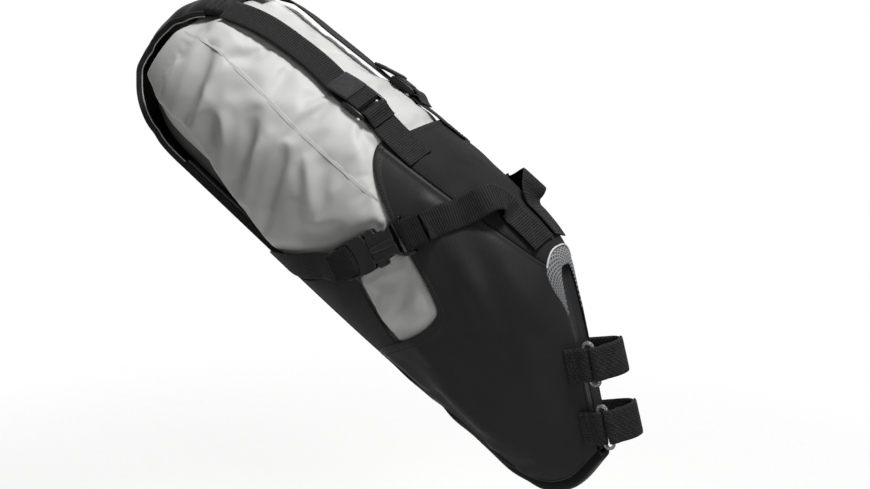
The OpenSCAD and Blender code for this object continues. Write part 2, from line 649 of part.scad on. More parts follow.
// Side strap: a tail over the plug's outer bar, round the inner bar, down the side and under the base
module side_strap() {
    low = bar_mid - buckle_turn_r;
    high = bar_mid + buckle_turn_r;
    turn_points = [for (w = [0:6]) let (q = 90 + 30 * w)
        [plug_bars[0] + buckle_turn_r * cos(q), bar_mid + buckle_turn_r * sin(q)]];
    plug_points = concat([[plug_bars[1] + 12, high - 1.4, 172], [plug_bars[1], high, 180]],
        [for (w = [0:6]) [turn_points[w][0], turn_points[w][1], 180 + 30 * w]],
        [[plug_bars[1], low, 360], [plug_bars[1] + 6, low - 0.6, 366]]);
    surface_points = [[247, 111, 1.3], [260, 121, 1.4], [274, 131.5, 1.5], [284, 140, 1.5],
        [290, 148, 1.5], [292, 156, 1.5], [292, 164, 1.5], [292, 172, 1.5], [292, 179, 1.5]];
    color(webbing_black) webbing(
        concat([for (g = plug_points) in_seat(buckle_seat, g[0], 0, g[1])],
            [for (g = surface_points) on(g[0], g[1], g[2])]),
        concat([for (g = plug_points) seat_face(buckle_seat, g[2])],
            [for (g = surface_points) skin_out(g[0], g[1])]));
}
module side_strap_right() {
    side_strap();
}
module side_strap_left() {
    left() side_strap();
}

// Post straps stand in a frame along the post: x forward, z up the post.
module along_post(q) {
    rotate([0, -post_lean, 0]) translate([0, 0, q]) children();
}
// Wedge that cuts a round band away from one angle to the next
module wedge(from, to) {
    reach = 4 * post_r;
    translate([0, 0, -1]) linear_extrude(post_strap_w + 2)
        polygon(concat([[0, 0]], [for (k = [0:6]) let (v = lerp(from, to, k / 6)) reach * [cos(v), sin(v)]]));
}
strap_r = post_r + post_strap_t;
flap_r = strap_r + web_gap;
ring_half = ring_wire / 2;
ring_y = -(flap_r + ring_half + post_strap_t + web_gap - 1.2);
ring_rear = -5;
ring_front = 3.4;
ring_over = 2.6;
eye_in = ring_half + fit_gap;
eye_out = eye_in + post_strap_t;

// Ring: two bars along the post, joined by half rings above and below
module post_ring(q) {
    mid = (ring_front + ring_rear) / 2;
    turn = (ring_front - ring_rear) / 2;
    half = post_strap_w / 2 + ring_over - turn + 1.6;
    color(plastic_black) along_post(q) translate([mid, ring_y, 0]) {
        for (x = [-turn, turn]) translate([x, 0, 0]) cylinder(d = ring_wire, h = 2 * half, center = true);
        for (side = [-1, 1]) translate([0, 0, side * half]) rotate([90, side > 0 ? 0 : 180, 0])
            rotate_extrude(angle = 180, $fn = 32) translate([turn, 0]) circle(d = ring_wire, $fn = 20);
    }
}
module post_ring_upper() {
    post_ring(strap_pitch / 2);
}
module post_ring_lower() {
    post_ring(-strap_pitch / 2);
}

// Sewn ends of the tab and the strap, and how far out they lie on the sides of the nose
tab_back = -24;
lie_upper = nose_w / 2 + 5.6;
lie_lower = nose_w / 2 + 3.4;

// Strap round the post, from the left side of the nose round the front to the ring
strap_near = -62;
module post_strap(q, lie) {
    color(webbing_black) along_post(q) translate([0, 0, -post_strap_w / 2]) {
        difference() {
            cylinder(r = strap_r, h = post_strap_w);
            translate([0, 0, -1]) cylinder(r = post_r, h = post_strap_w + 2);
            wedge(90, strap_near + 360);
        }
        linear_extrude(post_strap_w) polygon([[0.01, post_r + 0.05], [0.01, strap_r - 0.05],
            [tab_back, lie + post_strap_t], [tab_back, lie]]);
    }
}
module post_strap_upper() {
    post_strap(strap_pitch / 2, lie_upper);
}
module post_strap_lower() {
    post_strap(-strap_pitch / 2, lie_lower);
}

// Hook-and-loop flap: an eye round the ring's front bar and a curved blade over the strap
flap_start = -58;
flap_end = 48;
module post_flap(q) {
    color(webbing_black) along_post(q) translate([0, 0, -post_strap_w / 2]) {
        difference() {
            union() {
                translate([ring_front, ring_y, 0]) cylinder(r = eye_out, h = post_strap_w);
                difference() {
                    cylinder(r = flap_r + post_strap_t, h = post_strap_w);
                    wedge(flap_end, flap_start + 360);
                }
                neck();
            }
            translate([ring_front, ring_y, -1]) cylinder(r = eye_in, h = post_strap_w + 2);
            translate([0, 0, -1]) cylinder(r = flap_r, h = post_strap_w + 2);
        }
    }
}
// Short straight run from the eye to the start of the blade
module neck() {
    start = [cos(flap_start + 1), sin(flap_start + 1)];
    far = (flap_r + post_strap_t - 0.1) * start;
    near = flap_r * start;
    linear_extrude(post_strap_w)
        polygon([[ring_front, ring_y - eye_out], [ring_front, ring_y + eye_in], near, far]);
}
module post_flap_upper() {
    post_flap(strap_pitch / 2);
}
module post_flap_lower() {
    post_flap(-strap_pitch / 2);
}

// Tab: a loop round the ring's rear bar, sewn on the side of the nose
module post_tab(q, lie) {
    color(webbing_black) along_post(q) translate([0, 0, -post_strap_w / 2]) difference() {
        union() {
            translate([ring_rear, ring_y, 0]) cylinder(r = eye_out, h = post_strap_w);
            linear_extrude(post_strap_w) polygon([[ring_rear, ring_y - eye_out],
                [ring_rear, ring_y - eye_in + 0.2], [tab_back, -lie], [tab_back, -lie - post_strap_t]]);
        }
        translate([ring_rear, ring_y, -1]) cylinder(r = eye_in, h = post_strap_w + 2);
    }
}
module post_tab_upper() {
    post_tab(strap_pitch / 2, lie_upper);
}
module post_tab_lower() {
    post_tab(-strap_pitch / 2, lie_lower);
}

side_panel_right();
side_panel_left();
top_panel();
front_panel();
front_mesh();
mesh_piping();
base_panel();
base_stiffener();
tail_panel();
tail_hem();
pull_loop();
gusset_right();
gusset_left();
dry_bag();
roll_closure();
top_strap_right();
top_strap_left();
strap_anchor_right();
strap_anchor_left();
ladder_lock_right();
ladder_lock_left();
rail_strap_right();
rail_strap_left();
buckle_socket_right();
buckle_socket_left();
buckle_plug_right();
buckle_plug_left();
release_arm_right_upper();
release_arm_right_lower();
release_arm_left_upper();
release_arm_left_lower();
side_strap_right();
side_strap_left();
post_tab_upper();
post_tab_lower();
post_ring_upper();
post_ring_lower();
post_strap_upper();
post_strap_lower();
post_flap_upper();
post_flap_lower();
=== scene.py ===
# Saddle bag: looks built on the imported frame. Sizes are in millimetres until a mesh is made.
import bmesh
import bpy
import math
import numpy as np
from mathutils import Matrix, Vector


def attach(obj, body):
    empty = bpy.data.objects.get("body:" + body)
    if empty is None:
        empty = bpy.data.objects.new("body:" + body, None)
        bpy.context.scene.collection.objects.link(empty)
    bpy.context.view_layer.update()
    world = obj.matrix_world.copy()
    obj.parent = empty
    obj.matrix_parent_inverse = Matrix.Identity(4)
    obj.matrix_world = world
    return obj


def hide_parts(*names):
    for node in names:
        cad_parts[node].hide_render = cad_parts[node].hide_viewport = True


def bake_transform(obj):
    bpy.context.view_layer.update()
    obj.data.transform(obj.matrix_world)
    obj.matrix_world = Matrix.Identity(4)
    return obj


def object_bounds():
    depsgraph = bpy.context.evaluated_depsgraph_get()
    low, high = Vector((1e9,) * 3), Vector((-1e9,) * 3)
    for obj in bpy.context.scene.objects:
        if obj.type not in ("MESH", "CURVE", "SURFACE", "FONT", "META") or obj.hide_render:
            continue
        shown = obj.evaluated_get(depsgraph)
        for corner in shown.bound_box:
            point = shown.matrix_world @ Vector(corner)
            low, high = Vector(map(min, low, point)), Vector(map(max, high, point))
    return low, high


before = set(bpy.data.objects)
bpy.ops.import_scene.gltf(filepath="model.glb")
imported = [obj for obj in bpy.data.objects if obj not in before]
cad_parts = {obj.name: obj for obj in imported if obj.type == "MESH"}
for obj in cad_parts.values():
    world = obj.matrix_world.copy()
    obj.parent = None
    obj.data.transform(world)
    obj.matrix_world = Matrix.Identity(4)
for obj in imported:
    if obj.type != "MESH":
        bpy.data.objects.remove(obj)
cadBox = [[float(v) for v in corner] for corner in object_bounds()]
mm = 0.001
scene = bpy.context.scene
scene.view_settings.view_transform = "Standard"
print("frame loaded:", len(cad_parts), "nodes")

# Camera: the photograph's angle, its frame taken as 870 by 489 pixels
view = {"azimuth": 31, "elevation": 16, "distance": 2000, "pixelsPerMm": 1.21, "width": 870, "height": 489,
        "originPixel": (610.5, 389), "sensor": 36, "clip": (50, 50000)}


def makeCamera():
    az, el = math.radians(view["azimuth"]), math.radians(view["elevation"])
    back = Vector((math.sin(az) * math.cos(el), -math.cos(az) * math.cos(el), math.sin(el)))
    right = Vector((math.cos(az), math.sin(az), 0))
    up = back.cross(right)
    u = view["originPixel"][0] - view["width"] / 2
    v = view["originPixel"][1] - view["height"] / 2
    spot = back * view["distance"] - right * (u / view["pixelsPerMm"]) + up * (v / view["pixelsPerMm"])
    data = bpy.data.cameras.new("photoCamera")
    data.sensor_width = view["sensor"]
    data.lens = view["sensor"] * view["pixelsPerMm"] * view["distance"] / view["width"]
    data.clip_start, data.clip_end = view["clip"][0] * mm, view["clip"][1] * mm
    camera = bpy.data.objects.new("photoCamera", data)
    turn = Matrix((right, up, back)).transposed().to_4x4()
    camera.matrix_world = Matrix.Translation(spot * mm) @ turn
    scene.collection.objects.link(camera)
    scene.camera = camera


makeCamera()


# Colours are written as sRGB hex and turned to linear here
def linear(colour):
    parts = [int(colour[i:i + 2], 16) / 255 for i in (1, 3, 5)]
    return tuple(c / 12.92 if c <= 0.04045 else ((c + 0.055) / 1.055) ** 2.4 for c in parts) + (1,)


def node(tree, kind, values=None, links=None, **settings):
    made = tree.nodes.new(kind)
    for key, value in settings.items():
        setattr(made, key, value)
    for key, value in (values or {}).items():
        made.inputs[key].default_value = value
    for key, socket in (links or {}).items():
        tree.links.new(socket, made.inputs[key])
    return made


def newMaterial(name, **values):
    made = bpy.data.materials.new(name)
    made.use_nodes = True
    tree = made.node_tree
    shader = tree.nodes["Principled BSDF"]
    for key, value in values.items():
        shader.inputs[key.replace("_", " ")].default_value = value
    return made, tree, shader


# Light: a key lamp overhead, softer ones in front and behind, a pale world and a floor that fades into it
studio = {"floorDrop": 220, "floorHalf": 2000, "floorColour": "#fbfbfa", "floorGlow": 0.12, "floorMiddle": (-250, 0, 0),
          "floorNear": 350, "floorFar": 950, "worldStrength": 0.115, "lampAim": (-200, 0, 80),
          "keyPlace": (200, -140, 1500), "keyPower": 27, "keySize": 360,
          "sidePlace": (1100, -900, 600), "sidePower": 4.8, "sideSize": 400,
          "rimPlace": (-900, 1000, 900), "rimPower": 4, "rimSize": 600}


def areaLamp(name, spot, aim, power, size):
    data = bpy.data.lights.new(name, "AREA")
    data.energy, data.size, data.shape = power, size * mm, "DISK"
    lamp = bpy.data.objects.new(name, data)
    lamp.location = Vector(spot) * mm
    lamp.rotation_euler = (Vector(aim) - Vector(spot)).to_track_quat("-Z", "Y").to_euler()
    scene.collection.objects.link(lamp)


# True for rays that show the background itself: straight, mirrored or through plastic
def seenRay(tree):
    path = node(tree, "ShaderNodeLightPath")
    direct = node(tree, "ShaderNodeMath", links={0: path.outputs["Is Camera Ray"], 1: path.outputs["Is Glossy Ray"]},
                  operation="MAXIMUM")
    return node(tree, "ShaderNodeMath", links={0: direct.outputs[0], 1: path.outputs["Is Transmission Ray"]},
                operation="MAXIMUM")


def makeStudio():
    world = bpy.data.worlds.new("paleStudio")
    scene.world = world
    world.use_nodes = True
    tree = world.node_tree
    tree.nodes.clear()
    lit = node(tree, "ShaderNodeBackground", {"Color": (1, 1, 1, 1), "Strength": studio["worldStrength"]})
    seen = node(tree, "ShaderNodeBackground", {"Color": (1, 1, 1, 1), "Strength": 1})
    ray = seenRay(tree)
    mix = node(tree, "ShaderNodeMixShader", links={0: ray.outputs[0], 1: lit.outputs[0], 2: seen.outputs[0]})
    node(tree, "ShaderNodeOutputWorld", links={"Surface": mix.outputs[0]})
    for lamp in ("key", "side", "rim"):
        spot, watts, size = (studio[lamp + part] for part in ("Place", "Power", "Size"))
        areaLamp(lamp + "Lamp", spot, studio["lampAim"], watts, size)
    low, half = cadBox[0][2] - studio["floorDrop"] * mm, studio["floorHalf"] * mm
    mesh = bpy.data.meshes.new("floor")
    corners = [(-half, -half, low), (half, -half, low), (half, half, low), (-half, half, low)]
    mesh.from_pydata(corners, [], [(0, 1, 2, 3)])
    floor = bpy.data.objects.new("floor", mesh)
    scene.collection.objects.link(floor)
    paint, tree, shader = newMaterial("paperFloor", Roughness=0.95, Specular_IOR_Level=0.0)
    shader.inputs["Base Color"].default_value = linear(studio["floorColour"])
    spot = node(tree, "ShaderNodeTexCoord")
    flat = node(tree, "ShaderNodeVectorMath", {1: (1, 1, 0)}, {0: spot.outputs["Object"]}, operation="MULTIPLY")
    far = node(tree, "ShaderNodeVectorMath", {1: [c * mm for c in studio["floorMiddle"]]}, {0: flat.outputs[0]},
               operation="DISTANCE")
    fade = node(tree, "ShaderNodeMapRange",
                {"From Min": studio["floorNear"] * mm, "From Max": studio["floorFar"] * mm},
                {"Value": far.outputs["Value"]}, interpolation_type="SMOOTHSTEP")
    bright = node(tree, "ShaderNodeEmission", {"Color": (1, 1, 1, 1), "Strength": studio["floorGlow"]})
    join = node(tree, "ShaderNodeAddShader", links={0: shader.outputs[0], 1: bright.outputs[0]})
    clear = node(tree, "ShaderNodeBsdfTransparent")
    mix = node(tree, "ShaderNodeMixShader", links={0: fade.outputs[0], 1: join.outputs[0], 2: clear.outputs[0]})
    tree.links.new(mix.outputs[0], tree.nodes["Material Output"].inputs["Surface"])
    mesh.materials.append(paint)


makeStudio()
print("camera, lamps and floor made")

# The bag's form, with the same values as the part's source
bag = {"tilt": 33, "low": 110, "high": 75, "width": 168, "length": 512, "dome": 97, "noseWidth": 26, "taper": 320,
       "frontLow": 54, "frontHigh": 109, "postR": 15.45, "postLean": 15, "postGap": 0.6, "domeRound": 2.25,
       "domeDrop": 12, "taperPower": 2.5}
tilt = math.radians(bag["tilt"])
domeStart = bag["length"] - bag["dome"]


def place(s, y, n):
    return np.stack([n * math.sin(tilt) - s * math.cos(tilt), y + 0 * s, s * math.sin(tilt) + n * math.cos(tilt)], -1)


def postBack(q):
    lean, d = math.radians(bag["postLean"] + bag["tilt"]), bag["postR"] + bag["postGap"]
    return q * math.sin(lean) + d * math.cos(lean), q * math.cos(lean) - d * math.sin(lean)


noseBase, noseRoof = postBack(-bag["frontLow"]), postBack(bag["frontHigh"])
ribPlaces = np.array([0, 20, 50, 100, 170, 260, domeStart], float)
ribs = np.array([[noseBase[0], noseBase[1], noseRoof[0], noseRoof[1], 4],
                 [noseBase[0] + 5, 18 - bag["low"], noseRoof[0] + 10, bag["high"] - 8, 3.4],
                 [noseBase[0] + 33, -4 - bag["low"], noseRoof[0] + 25, bag["high"] - 3, 2.9],
                 [72, -3 - bag["low"], 149, bag["high"], 2.6], [162, -1 - bag["low"], 196, bag["high"], 2.35],
                 [260, -bag["low"], 262, bag["high"] - 2, 2.1],
                 [domeStart, 3 - bag["low"], domeStart, bag["high"] - 12, 2]], float)
ribPairs = [(max(i - 1, 0), min(i + 1, 6)) for i in range(7)]
ribSlopes = np.array([(ribs[j] - ribs[i]) / (ribPlaces[j] - ribPlaces[i]) for i, j in ribPairs])


def domeShare(t):
    k = np.clip((t - domeStart) / bag["dome"], 0, 0.9999)
    return (1 - k ** bag["domeRound"]) ** (1 / bag["domeRound"])


def ribAt(t):
    i = np.clip(np.searchsorted(ribPlaces, t, side="right") - 1, 0, 5)
    h = (ribPlaces[i + 1] - ribPlaces[i])[..., None]
    u = (t - ribPlaces[i])[..., None] / h
    v = 1 - u
    body = (ribs[i] * (1 + 2 * u) * v * v + ribSlopes[i] * h * u * v * v
            + ribs[i + 1] * u * u * (3 - 2 * u) - ribSlopes[i + 1] * h * u * u * v)
    k = np.clip((t - domeStart) / bag["dome"], 0, 1)
    last = ribs[-1]
    mid = (last[1] + last[3]) / 2 - bag["domeDrop"] * k * k
    half = (last[3] - last[1]) / 2 * domeShare(t)
    end = np.stack([t, mid - half, t, mid + half, 0 * t + last[4]], -1)
    return np.where((t > domeStart)[..., None], end, body)


def halfWidth(t):
    grow = (1 - np.clip(t / bag["taper"], 0, 1)) ** bag["taperPower"]
    wide = bag["width"] / 2 - (bag["width"] - bag["noseWidth"]) / 2 * grow
    return wide * np.where(t > domeStart, domeShare(t), 1)


def power(v, e):
    return np.sign(v) * np.abs(v) ** e


# Point on the bag: t along it, a degrees round it from the roof towards the right
def skin(t, a):
    t, a = np.broadcast_arrays(np.asarray(t, float), np.asarray(a, float))
    r = ribAt(t)
    c, b = power(np.cos(np.radians(a)), 2 / r[..., 4]), power(np.sin(np.radians(a)), 2 / r[..., 4])
    return place((r[..., 0] + r[..., 2] + (r[..., 2] - r[..., 0]) * c) / 2, -halfWidth(t) * b,
                 (r[..., 1] + r[..., 3] + (r[..., 3] - r[..., 1]) * c) / 2)


def unit(v):
    return v / np.maximum(np.linalg.norm(v, axis=-1, keepdims=True), 1e-9)


def skinOut(t, a):
    t, a = np.broadcast_arrays(np.asarray(t, float), np.asarray(a, float))
    u = np.minimum(t, bag["length"] - 2)
    return unit(np.cross(skin(u + 1, a) - skin(u - 1, a), skin(t, a + 0.5) - skin(t, a - 0.5)))


def on(t, a, d):
    return skin(t, a) + np.asarray(d, float)[..., None] * skinOut(t, a)


# Point on the rear end: p degrees round it from below, y across
def tailSkin(p, y):
    p, y = np.broadcast_arrays(np.asarray(p, float), np.asarray(y, float))
    last, w = ribs[-1], float(halfWidth(np.array(domeStart)))
    g = np.abs(y) / w
    k = (1 - g ** bag["domeRound"]) ** (1 / bag["domeRound"]) * np.sin(np.radians(p))
    t = domeStart + k * bag["dome"]
    f = np.where(k >= 0, domeShare(t), 1)
    mid = (last[1] + last[3]) / 2 - bag["domeDrop"] * k * k
    n = mid - np.sign(np.cos(np.radians(p))) * (last[3] - last[1]) / 2 * np.sqrt(np.maximum(f * f - g * g, 0))
    return place(t, y, n)


def tailOut(p, y):
    return unit(np.cross(tailSkin(p + 1, y) - tailSkin(p - 1, y), tailSkin(p, y + 1) - tailSkin(p, y - 1)))


def ease(v):
    u = np.clip(v, 0, 1)
    return u * u * (3 - 2 * u)


# Soft step from zero to one; a turn gives where it starts and how long it takes
def ramp(v, turn):
    return ease((v - turn[0]) / turn[1])


# Frame of a rigid piece on the bag: origin, then its x, y and z directions
def seat(t, a, d, t2, a2):
    o, z = on(t, a, d), skinOut(t, a)
    v = on(t2, a2, d) - o
    x = unit(v - z * float(v @ z))
    return o, x, np.cross(z, x), z


def inSeat(f, x, y, z):
    return f[0] + f[1] * x + f[2] * y + f[3] * z


def seatFace(f, slope):
    return f[3] * math.cos(math.radians(slope)) - f[1] * math.sin(math.radians(slope))


lockSeat = seat(305, 22, 1.2, 290, 22)
buckleSeat = seat(204, 81.5, 1, 225, 97)


# A mesh object from points in millimetres, with its pattern coordinates in metres
def meshObject(name, points, faces, paint, uv=None, smooth=True):
    mesh = bpy.data.meshes.new(name)
    mesh.from_pydata((np.asarray(points) * mm).tolist(), [], faces)
    if uv is not None:
        layer = mesh.uv_layers.new(name="pattern")
        loops = np.zeros(len(mesh.loops), int)
        mesh.loops.foreach_get("vertex_index", loops)
        layer.data.foreach_set("uv", (np.asarray(uv)[loops] * mm).ravel().astype(np.float32))
    mesh.polygons.foreach_set("use_smooth", [smooth] * len(mesh.polygons))
    mesh.materials.append(paint)
    mesh.update()
    made = bpy.data.objects.new(name, mesh)
    scene.collection.objects.link(made)
    return made


def gridUv(grid):
    along = np.linalg.norm(np.diff(grid[:, grid.shape[1] // 2], axis=0), axis=-1)
    across = np.linalg.norm(np.diff(grid[grid.shape[0] // 2], axis=0), axis=-1)
    u, v = np.concatenate([[0], np.cumsum(along)]), np.concatenate([[0], np.cumsum(across)])
    return np.stack(np.meshgrid(u, v, indexing="ij"), -1)


# Closed sheet between an outer and an inner grid, its edge rounded
def sheetObject(name, outer, inner, paint, edge=0.7, mirror=False):
    n, m = outer.shape[:2]
    ids = np.arange(n * m).reshape(n, m)
    loop = np.concatenate([ids[0, :-1], ids[:-1, -1], ids[-1, :0:-1], ids[:0:-1, 0]])
    row, col = np.unravel_index(loop, (n, m))
    a, b = outer.reshape(-1, 3), inner.reshape(-1, 3)
    mid = (a + b) / 2
    back = ids[np.clip(row, 1, n - 2), np.clip(col, 1, m - 2)]
    thick = np.linalg.norm(a[loop] - b[loop], axis=-1, keepdims=True)
    rim = mid[loop] + unit(mid[loop] - mid[back]) * thick * 0.5 * edge
    points = np.concatenate([a, b, rim])
    uvGrid = gridUv(outer).reshape(-1, 2)
    uv = np.concatenate([uvGrid, uvGrid, uvGrid[loop]])
    i, j = ids[:-1, :-1].ravel(), ids[1:, 1:].ravel()
    k, l = ids[1:, :-1].ravel(), ids[:-1, 1:].ravel()
    top = np.stack([i, k, j, l], -1)
    c = n * m
    faces = np.concatenate([top, top[:, ::-1] + c])
    r = np.arange(len(loop))
    s = np.roll(r, -1)
    wall = np.concatenate([np.stack([loop[r], loop[s], 2 * c + s, 2 * c + r], -1),
                           np.stack([2 * c + r, 2 * c + s, c + loop[s], c + loop[r]], -1)])
    faces = np.concatenate([faces, wall])
    if mirror:
        points = points * [1, -1, 1]
        faces = faces[:, ::-1]
    return meshObject(name, points, faces.tolist(), paint, uv)


# Height that soft dents, folds and creases add to points of the skin; a dent is t, a, height, two radii and a turn
def dents(points, wanted):
    total = np.zeros(points.shape[:-1])
    for t, a, height, r1, r2, turn in wanted:
        o, z = skin(t, a), skinOut(t, a)
        x = unit(skin(t + 1.0, a) - skin(t - 1.0, a))
        y = np.cross(z, x)
        c, s = math.cos(math.radians(turn)), math.sin(math.radians(turn))
        v = points - o
        e1, e2 = v @ (x * c + y * s), v @ (y * c - x * s)
        total += height * np.exp(-(e1 / r1) ** 2 - (e2 / r2) ** 2) * (np.abs(v @ z) < 60)
    return total


# A fold runs along points of t and a; it is raised on one side and sunk on the other by skew
def folds(points, wanted):
    total = np.zeros(points.shape[:-1])
    for line, height, width, skew in wanted:
        knots = np.array(line, float)
        steps = np.linspace(0, len(knots) - 1, 12 * (len(knots) - 1) + 1)
        t = np.interp(steps, range(len(knots)), knots[:, 0])
        a = np.interp(steps, range(len(knots)), knots[:, 1])
        path, out = skin(t, a), skinOut(t, a)
        side = unit(np.cross(out, np.gradient(path, axis=0)))
        gap = points[..., None, :] - path
        far = np.linalg.norm(gap, axis=-1)
        near = np.argmin(far, axis=-1)
        d = np.take_along_axis(far, near[..., None], -1)[..., 0]
        share = near / (len(t) - 1)
        fade = np.sin(np.pi * np.clip(share, 0.02, 0.98)) ** 0.7
        s = np.einsum("...k,...k->...", np.take_along_axis(gap, near[..., None, None], -2)[..., 0, :], side[near])
        shape = np.exp(-(d / width) ** 2)
        total += height * fade * shape * ((1 - abs(skew)) + skew * np.clip(s / width, -1.5, 1.5) * 1.6)
    return total


wavePeriod = 0.31416  # metres from crest to crest in Blender's wave texture at scale 1


# Nylon with a polymer coat: satin black, faint clouds in the gloss and the grain of the cloth below, which is drawn
# coarser than life so that it shows
def coatedNylon(name, dark, light, level):
    paint, tree, shader = newMaterial(name, IOR=1.5, Specular_IOR_Level=level)
    spot = node(tree, "ShaderNodeTexCoord")
    cloud = node(tree, "ShaderNodeTexNoise", {"Scale": 1 / (50 * mm), "Detail": 4, "Roughness": 0.6},
                 {"Vector": spot.outputs["Object"]})
    tone = node(tree, "ShaderNodeMix", {"A": linear(dark), "B": linear(light)}, data_type="RGBA")
    tree.links.new(cloud.outputs["Fac"], tone.inputs["Factor"])
    tree.links.new(tone.outputs[2], shader.inputs["Base Color"])
    gloss = node(tree, "ShaderNodeMapRange", {"To Min": 0.38, "To Max": 0.56}, {"Value": cloud.outputs["Fac"]})
    tree.links.new(gloss.outputs[0], shader.inputs["Roughness"])
    cloth = node(tree, "ShaderNodeTexNoise", {"Scale": 1 / (1.6 * mm), "Detail": 2}, {"Vector": spot.outputs["Object"]})
    soft = node(tree, "ShaderNodeTexNoise", {"Scale": 1 / (20 * mm), "Detail": 3}, {"Vector": spot.outputs["Object"]})
    both = node(tree, "ShaderNodeMath", {1: 6.0}, {0: soft.outputs["Fac"], 2: cloth.outputs["Fac"]},
                operation="MULTIPLY_ADD")
    bump = node(tree, "ShaderNodeBump", {"Strength": 0.28, "Distance": 0.3 * mm}, {"Height": both.outputs[0]})
    tree.links.new(bump.outputs[0], shader.inputs["Normal"])
    return paint


# Plain woven polyester: matte, threads 1.1 mm apart, drawn coarser than the real 0.5 mm so that they show
def wovenPolyester(name, dark, light, pitch=1.1, rough=0.82):
    paint, tree, shader = newMaterial(name, Roughness=rough, IOR=1.5, Specular_IOR_Level=0.06)
    spot = node(tree, "ShaderNodeTexCoord")
    waves = [node(tree, "ShaderNodeTexWave", {"Scale": wavePeriod / (pitch * mm), "Distortion": 0.4},
                  {"Vector": spot.outputs["UV"]}, bands_direction=way) for way in ("X", "Y")]
    weave = node(tree, "ShaderNodeMath", links={0: waves[0].outputs["Fac"], 1: waves[1].outputs["Fac"]},
                 operation="MULTIPLY")
    cloud = node(tree, "ShaderNodeTexNoise", {"Scale": 1 / (30 * mm), "Detail": 4}, {"Vector": spot.outputs["Object"]})
    share = node(tree, "ShaderNodeMath", {1: 0.5}, {0: weave.outputs[0], 2: cloud.outputs["Fac"]},
                 operation="MULTIPLY_ADD")
    tone = node(tree, "ShaderNodeMix", {"A": linear(dark), "B": linear(light)}, {"Factor": share.outputs[0]},
                data_type="RGBA")
    tree.links.new(tone.outputs[2], shader.inputs["Base Color"])
    bump = node(tree, "ShaderNodeBump", {"Strength": 0.5, "Distance": 0.3 * mm}, {"Height": weave.outputs[0]})
    tree.links.new(bump.outputs[0], shader.inputs["Normal"])
    return paint


# Coated polyester of the dry bag: matte pale grey with a faint sheen and handling marks; its fine grain is drawn
# coarser than life so that it shows
def coatedPolyester():
    paint, tree, shader = newMaterial("coatedPolyesterGrey", IOR=1.5, Specular_IOR_Level=0.25)
    spot = node(tree, "ShaderNodeTexCoord")
    cloud = node(tree, "ShaderNodeTexNoise", {"Scale": 1 / (60 * mm), "Detail": 5, "Roughness": 0.62},
                 {"Vector": spot.outputs["Object"]})
    tone = node(tree, "ShaderNodeMix", {"A": linear("#a9a9a7"), "B": linear("#b8b8b6")},
                {"Factor": cloud.outputs["Fac"]}, data_type="RGBA")
    tree.links.new(tone.outputs[2], shader.inputs["Base Color"])
    gloss = node(tree, "ShaderNodeMapRange", {"To Min": 0.42, "To Max": 0.6}, {"Value": cloud.outputs["Fac"]})
    tree.links.new(gloss.outputs[0], shader.inputs["Roughness"])
    grain = node(tree, "ShaderNodeTexNoise", {"Scale": 1 / (1.1 * mm), "Detail": 2}, {"Vector": spot.outputs["Object"]})
    bump = node(tree, "ShaderNodeBump", {"Strength": 0.18, "Distance": 0.2 * mm}, {"Height": grain.outputs["Fac"]})
    tree.links.new(bump.outputs[0], shader.inputs["Normal"])
    return paint


# Polypropylene webbing: dull black yarn in a fine twill; the paler bands along the cross ribs that the mesh itself
# carries are painted highlight, standing in for light on the rib crests; yarn and ribs are drawn coarser than life
# so that they show
def webbingYarn(name, dark, light, pitch=0.9, rough=0.62, depth=0.6, rib=0.0):
    paint, tree, shader = newMaterial(name, Roughness=rough, IOR=1.49, Specular_IOR_Level=0.08)
    spot = node(tree, "ShaderNodeTexCoord")
    waves = [node(tree, "ShaderNodeTexWave", {"Scale": wavePeriod / (pitch * mm) / 1.414, "Distortion": 1.2,
                                              "Detail Scale": 2.0},
                  {"Vector": spot.outputs["UV"]}, bands_direction=way) for way in ("DIAGONAL", "Y")]
    yarn = node(tree, "ShaderNodeMath", links={0: waves[0].outputs["Fac"], 1: waves[1].outputs["Fac"]},
                operation="MULTIPLY")
    fuzz = node(tree, "ShaderNodeTexNoise", {"Scale": 1 / (4 * mm), "Detail": 4}, {"Vector": spot.outputs["Object"]})
    share = node(tree, "ShaderNodeMath", {1: 0.6}, {0: yarn.outputs[0], 2: fuzz.outputs["Fac"]},
                 operation="MULTIPLY_ADD")
    if rib:
        # Painted highlight: paler bands at the rib pitch, standing in for light on the rib crests
        ribHighlight = node(tree, "ShaderNodeTexWave", {"Scale": wavePeriod / (rib * mm)}, {"Vector": spot.outputs["UV"]})
        share = node(tree, "ShaderNodeMath", links={0: share.outputs[0], 1: ribHighlight.outputs["Fac"]},
                     operation="MULTIPLY")
    tone = node(tree, "ShaderNodeMix", {"A": linear(dark), "B": linear(light)}, {"Factor": share.outputs[0]},
                data_type="RGBA")
    tree.links.new(tone.outputs[2], shader.inputs["Base Color"])
    bump = node(tree, "ShaderNodeBump", {"Strength": depth, "Distance": 0.3 * mm}, {"Height": yarn.outputs[0]})
    tree.links.new(bump.outputs[0], shader.inputs["Normal"])
    return paint


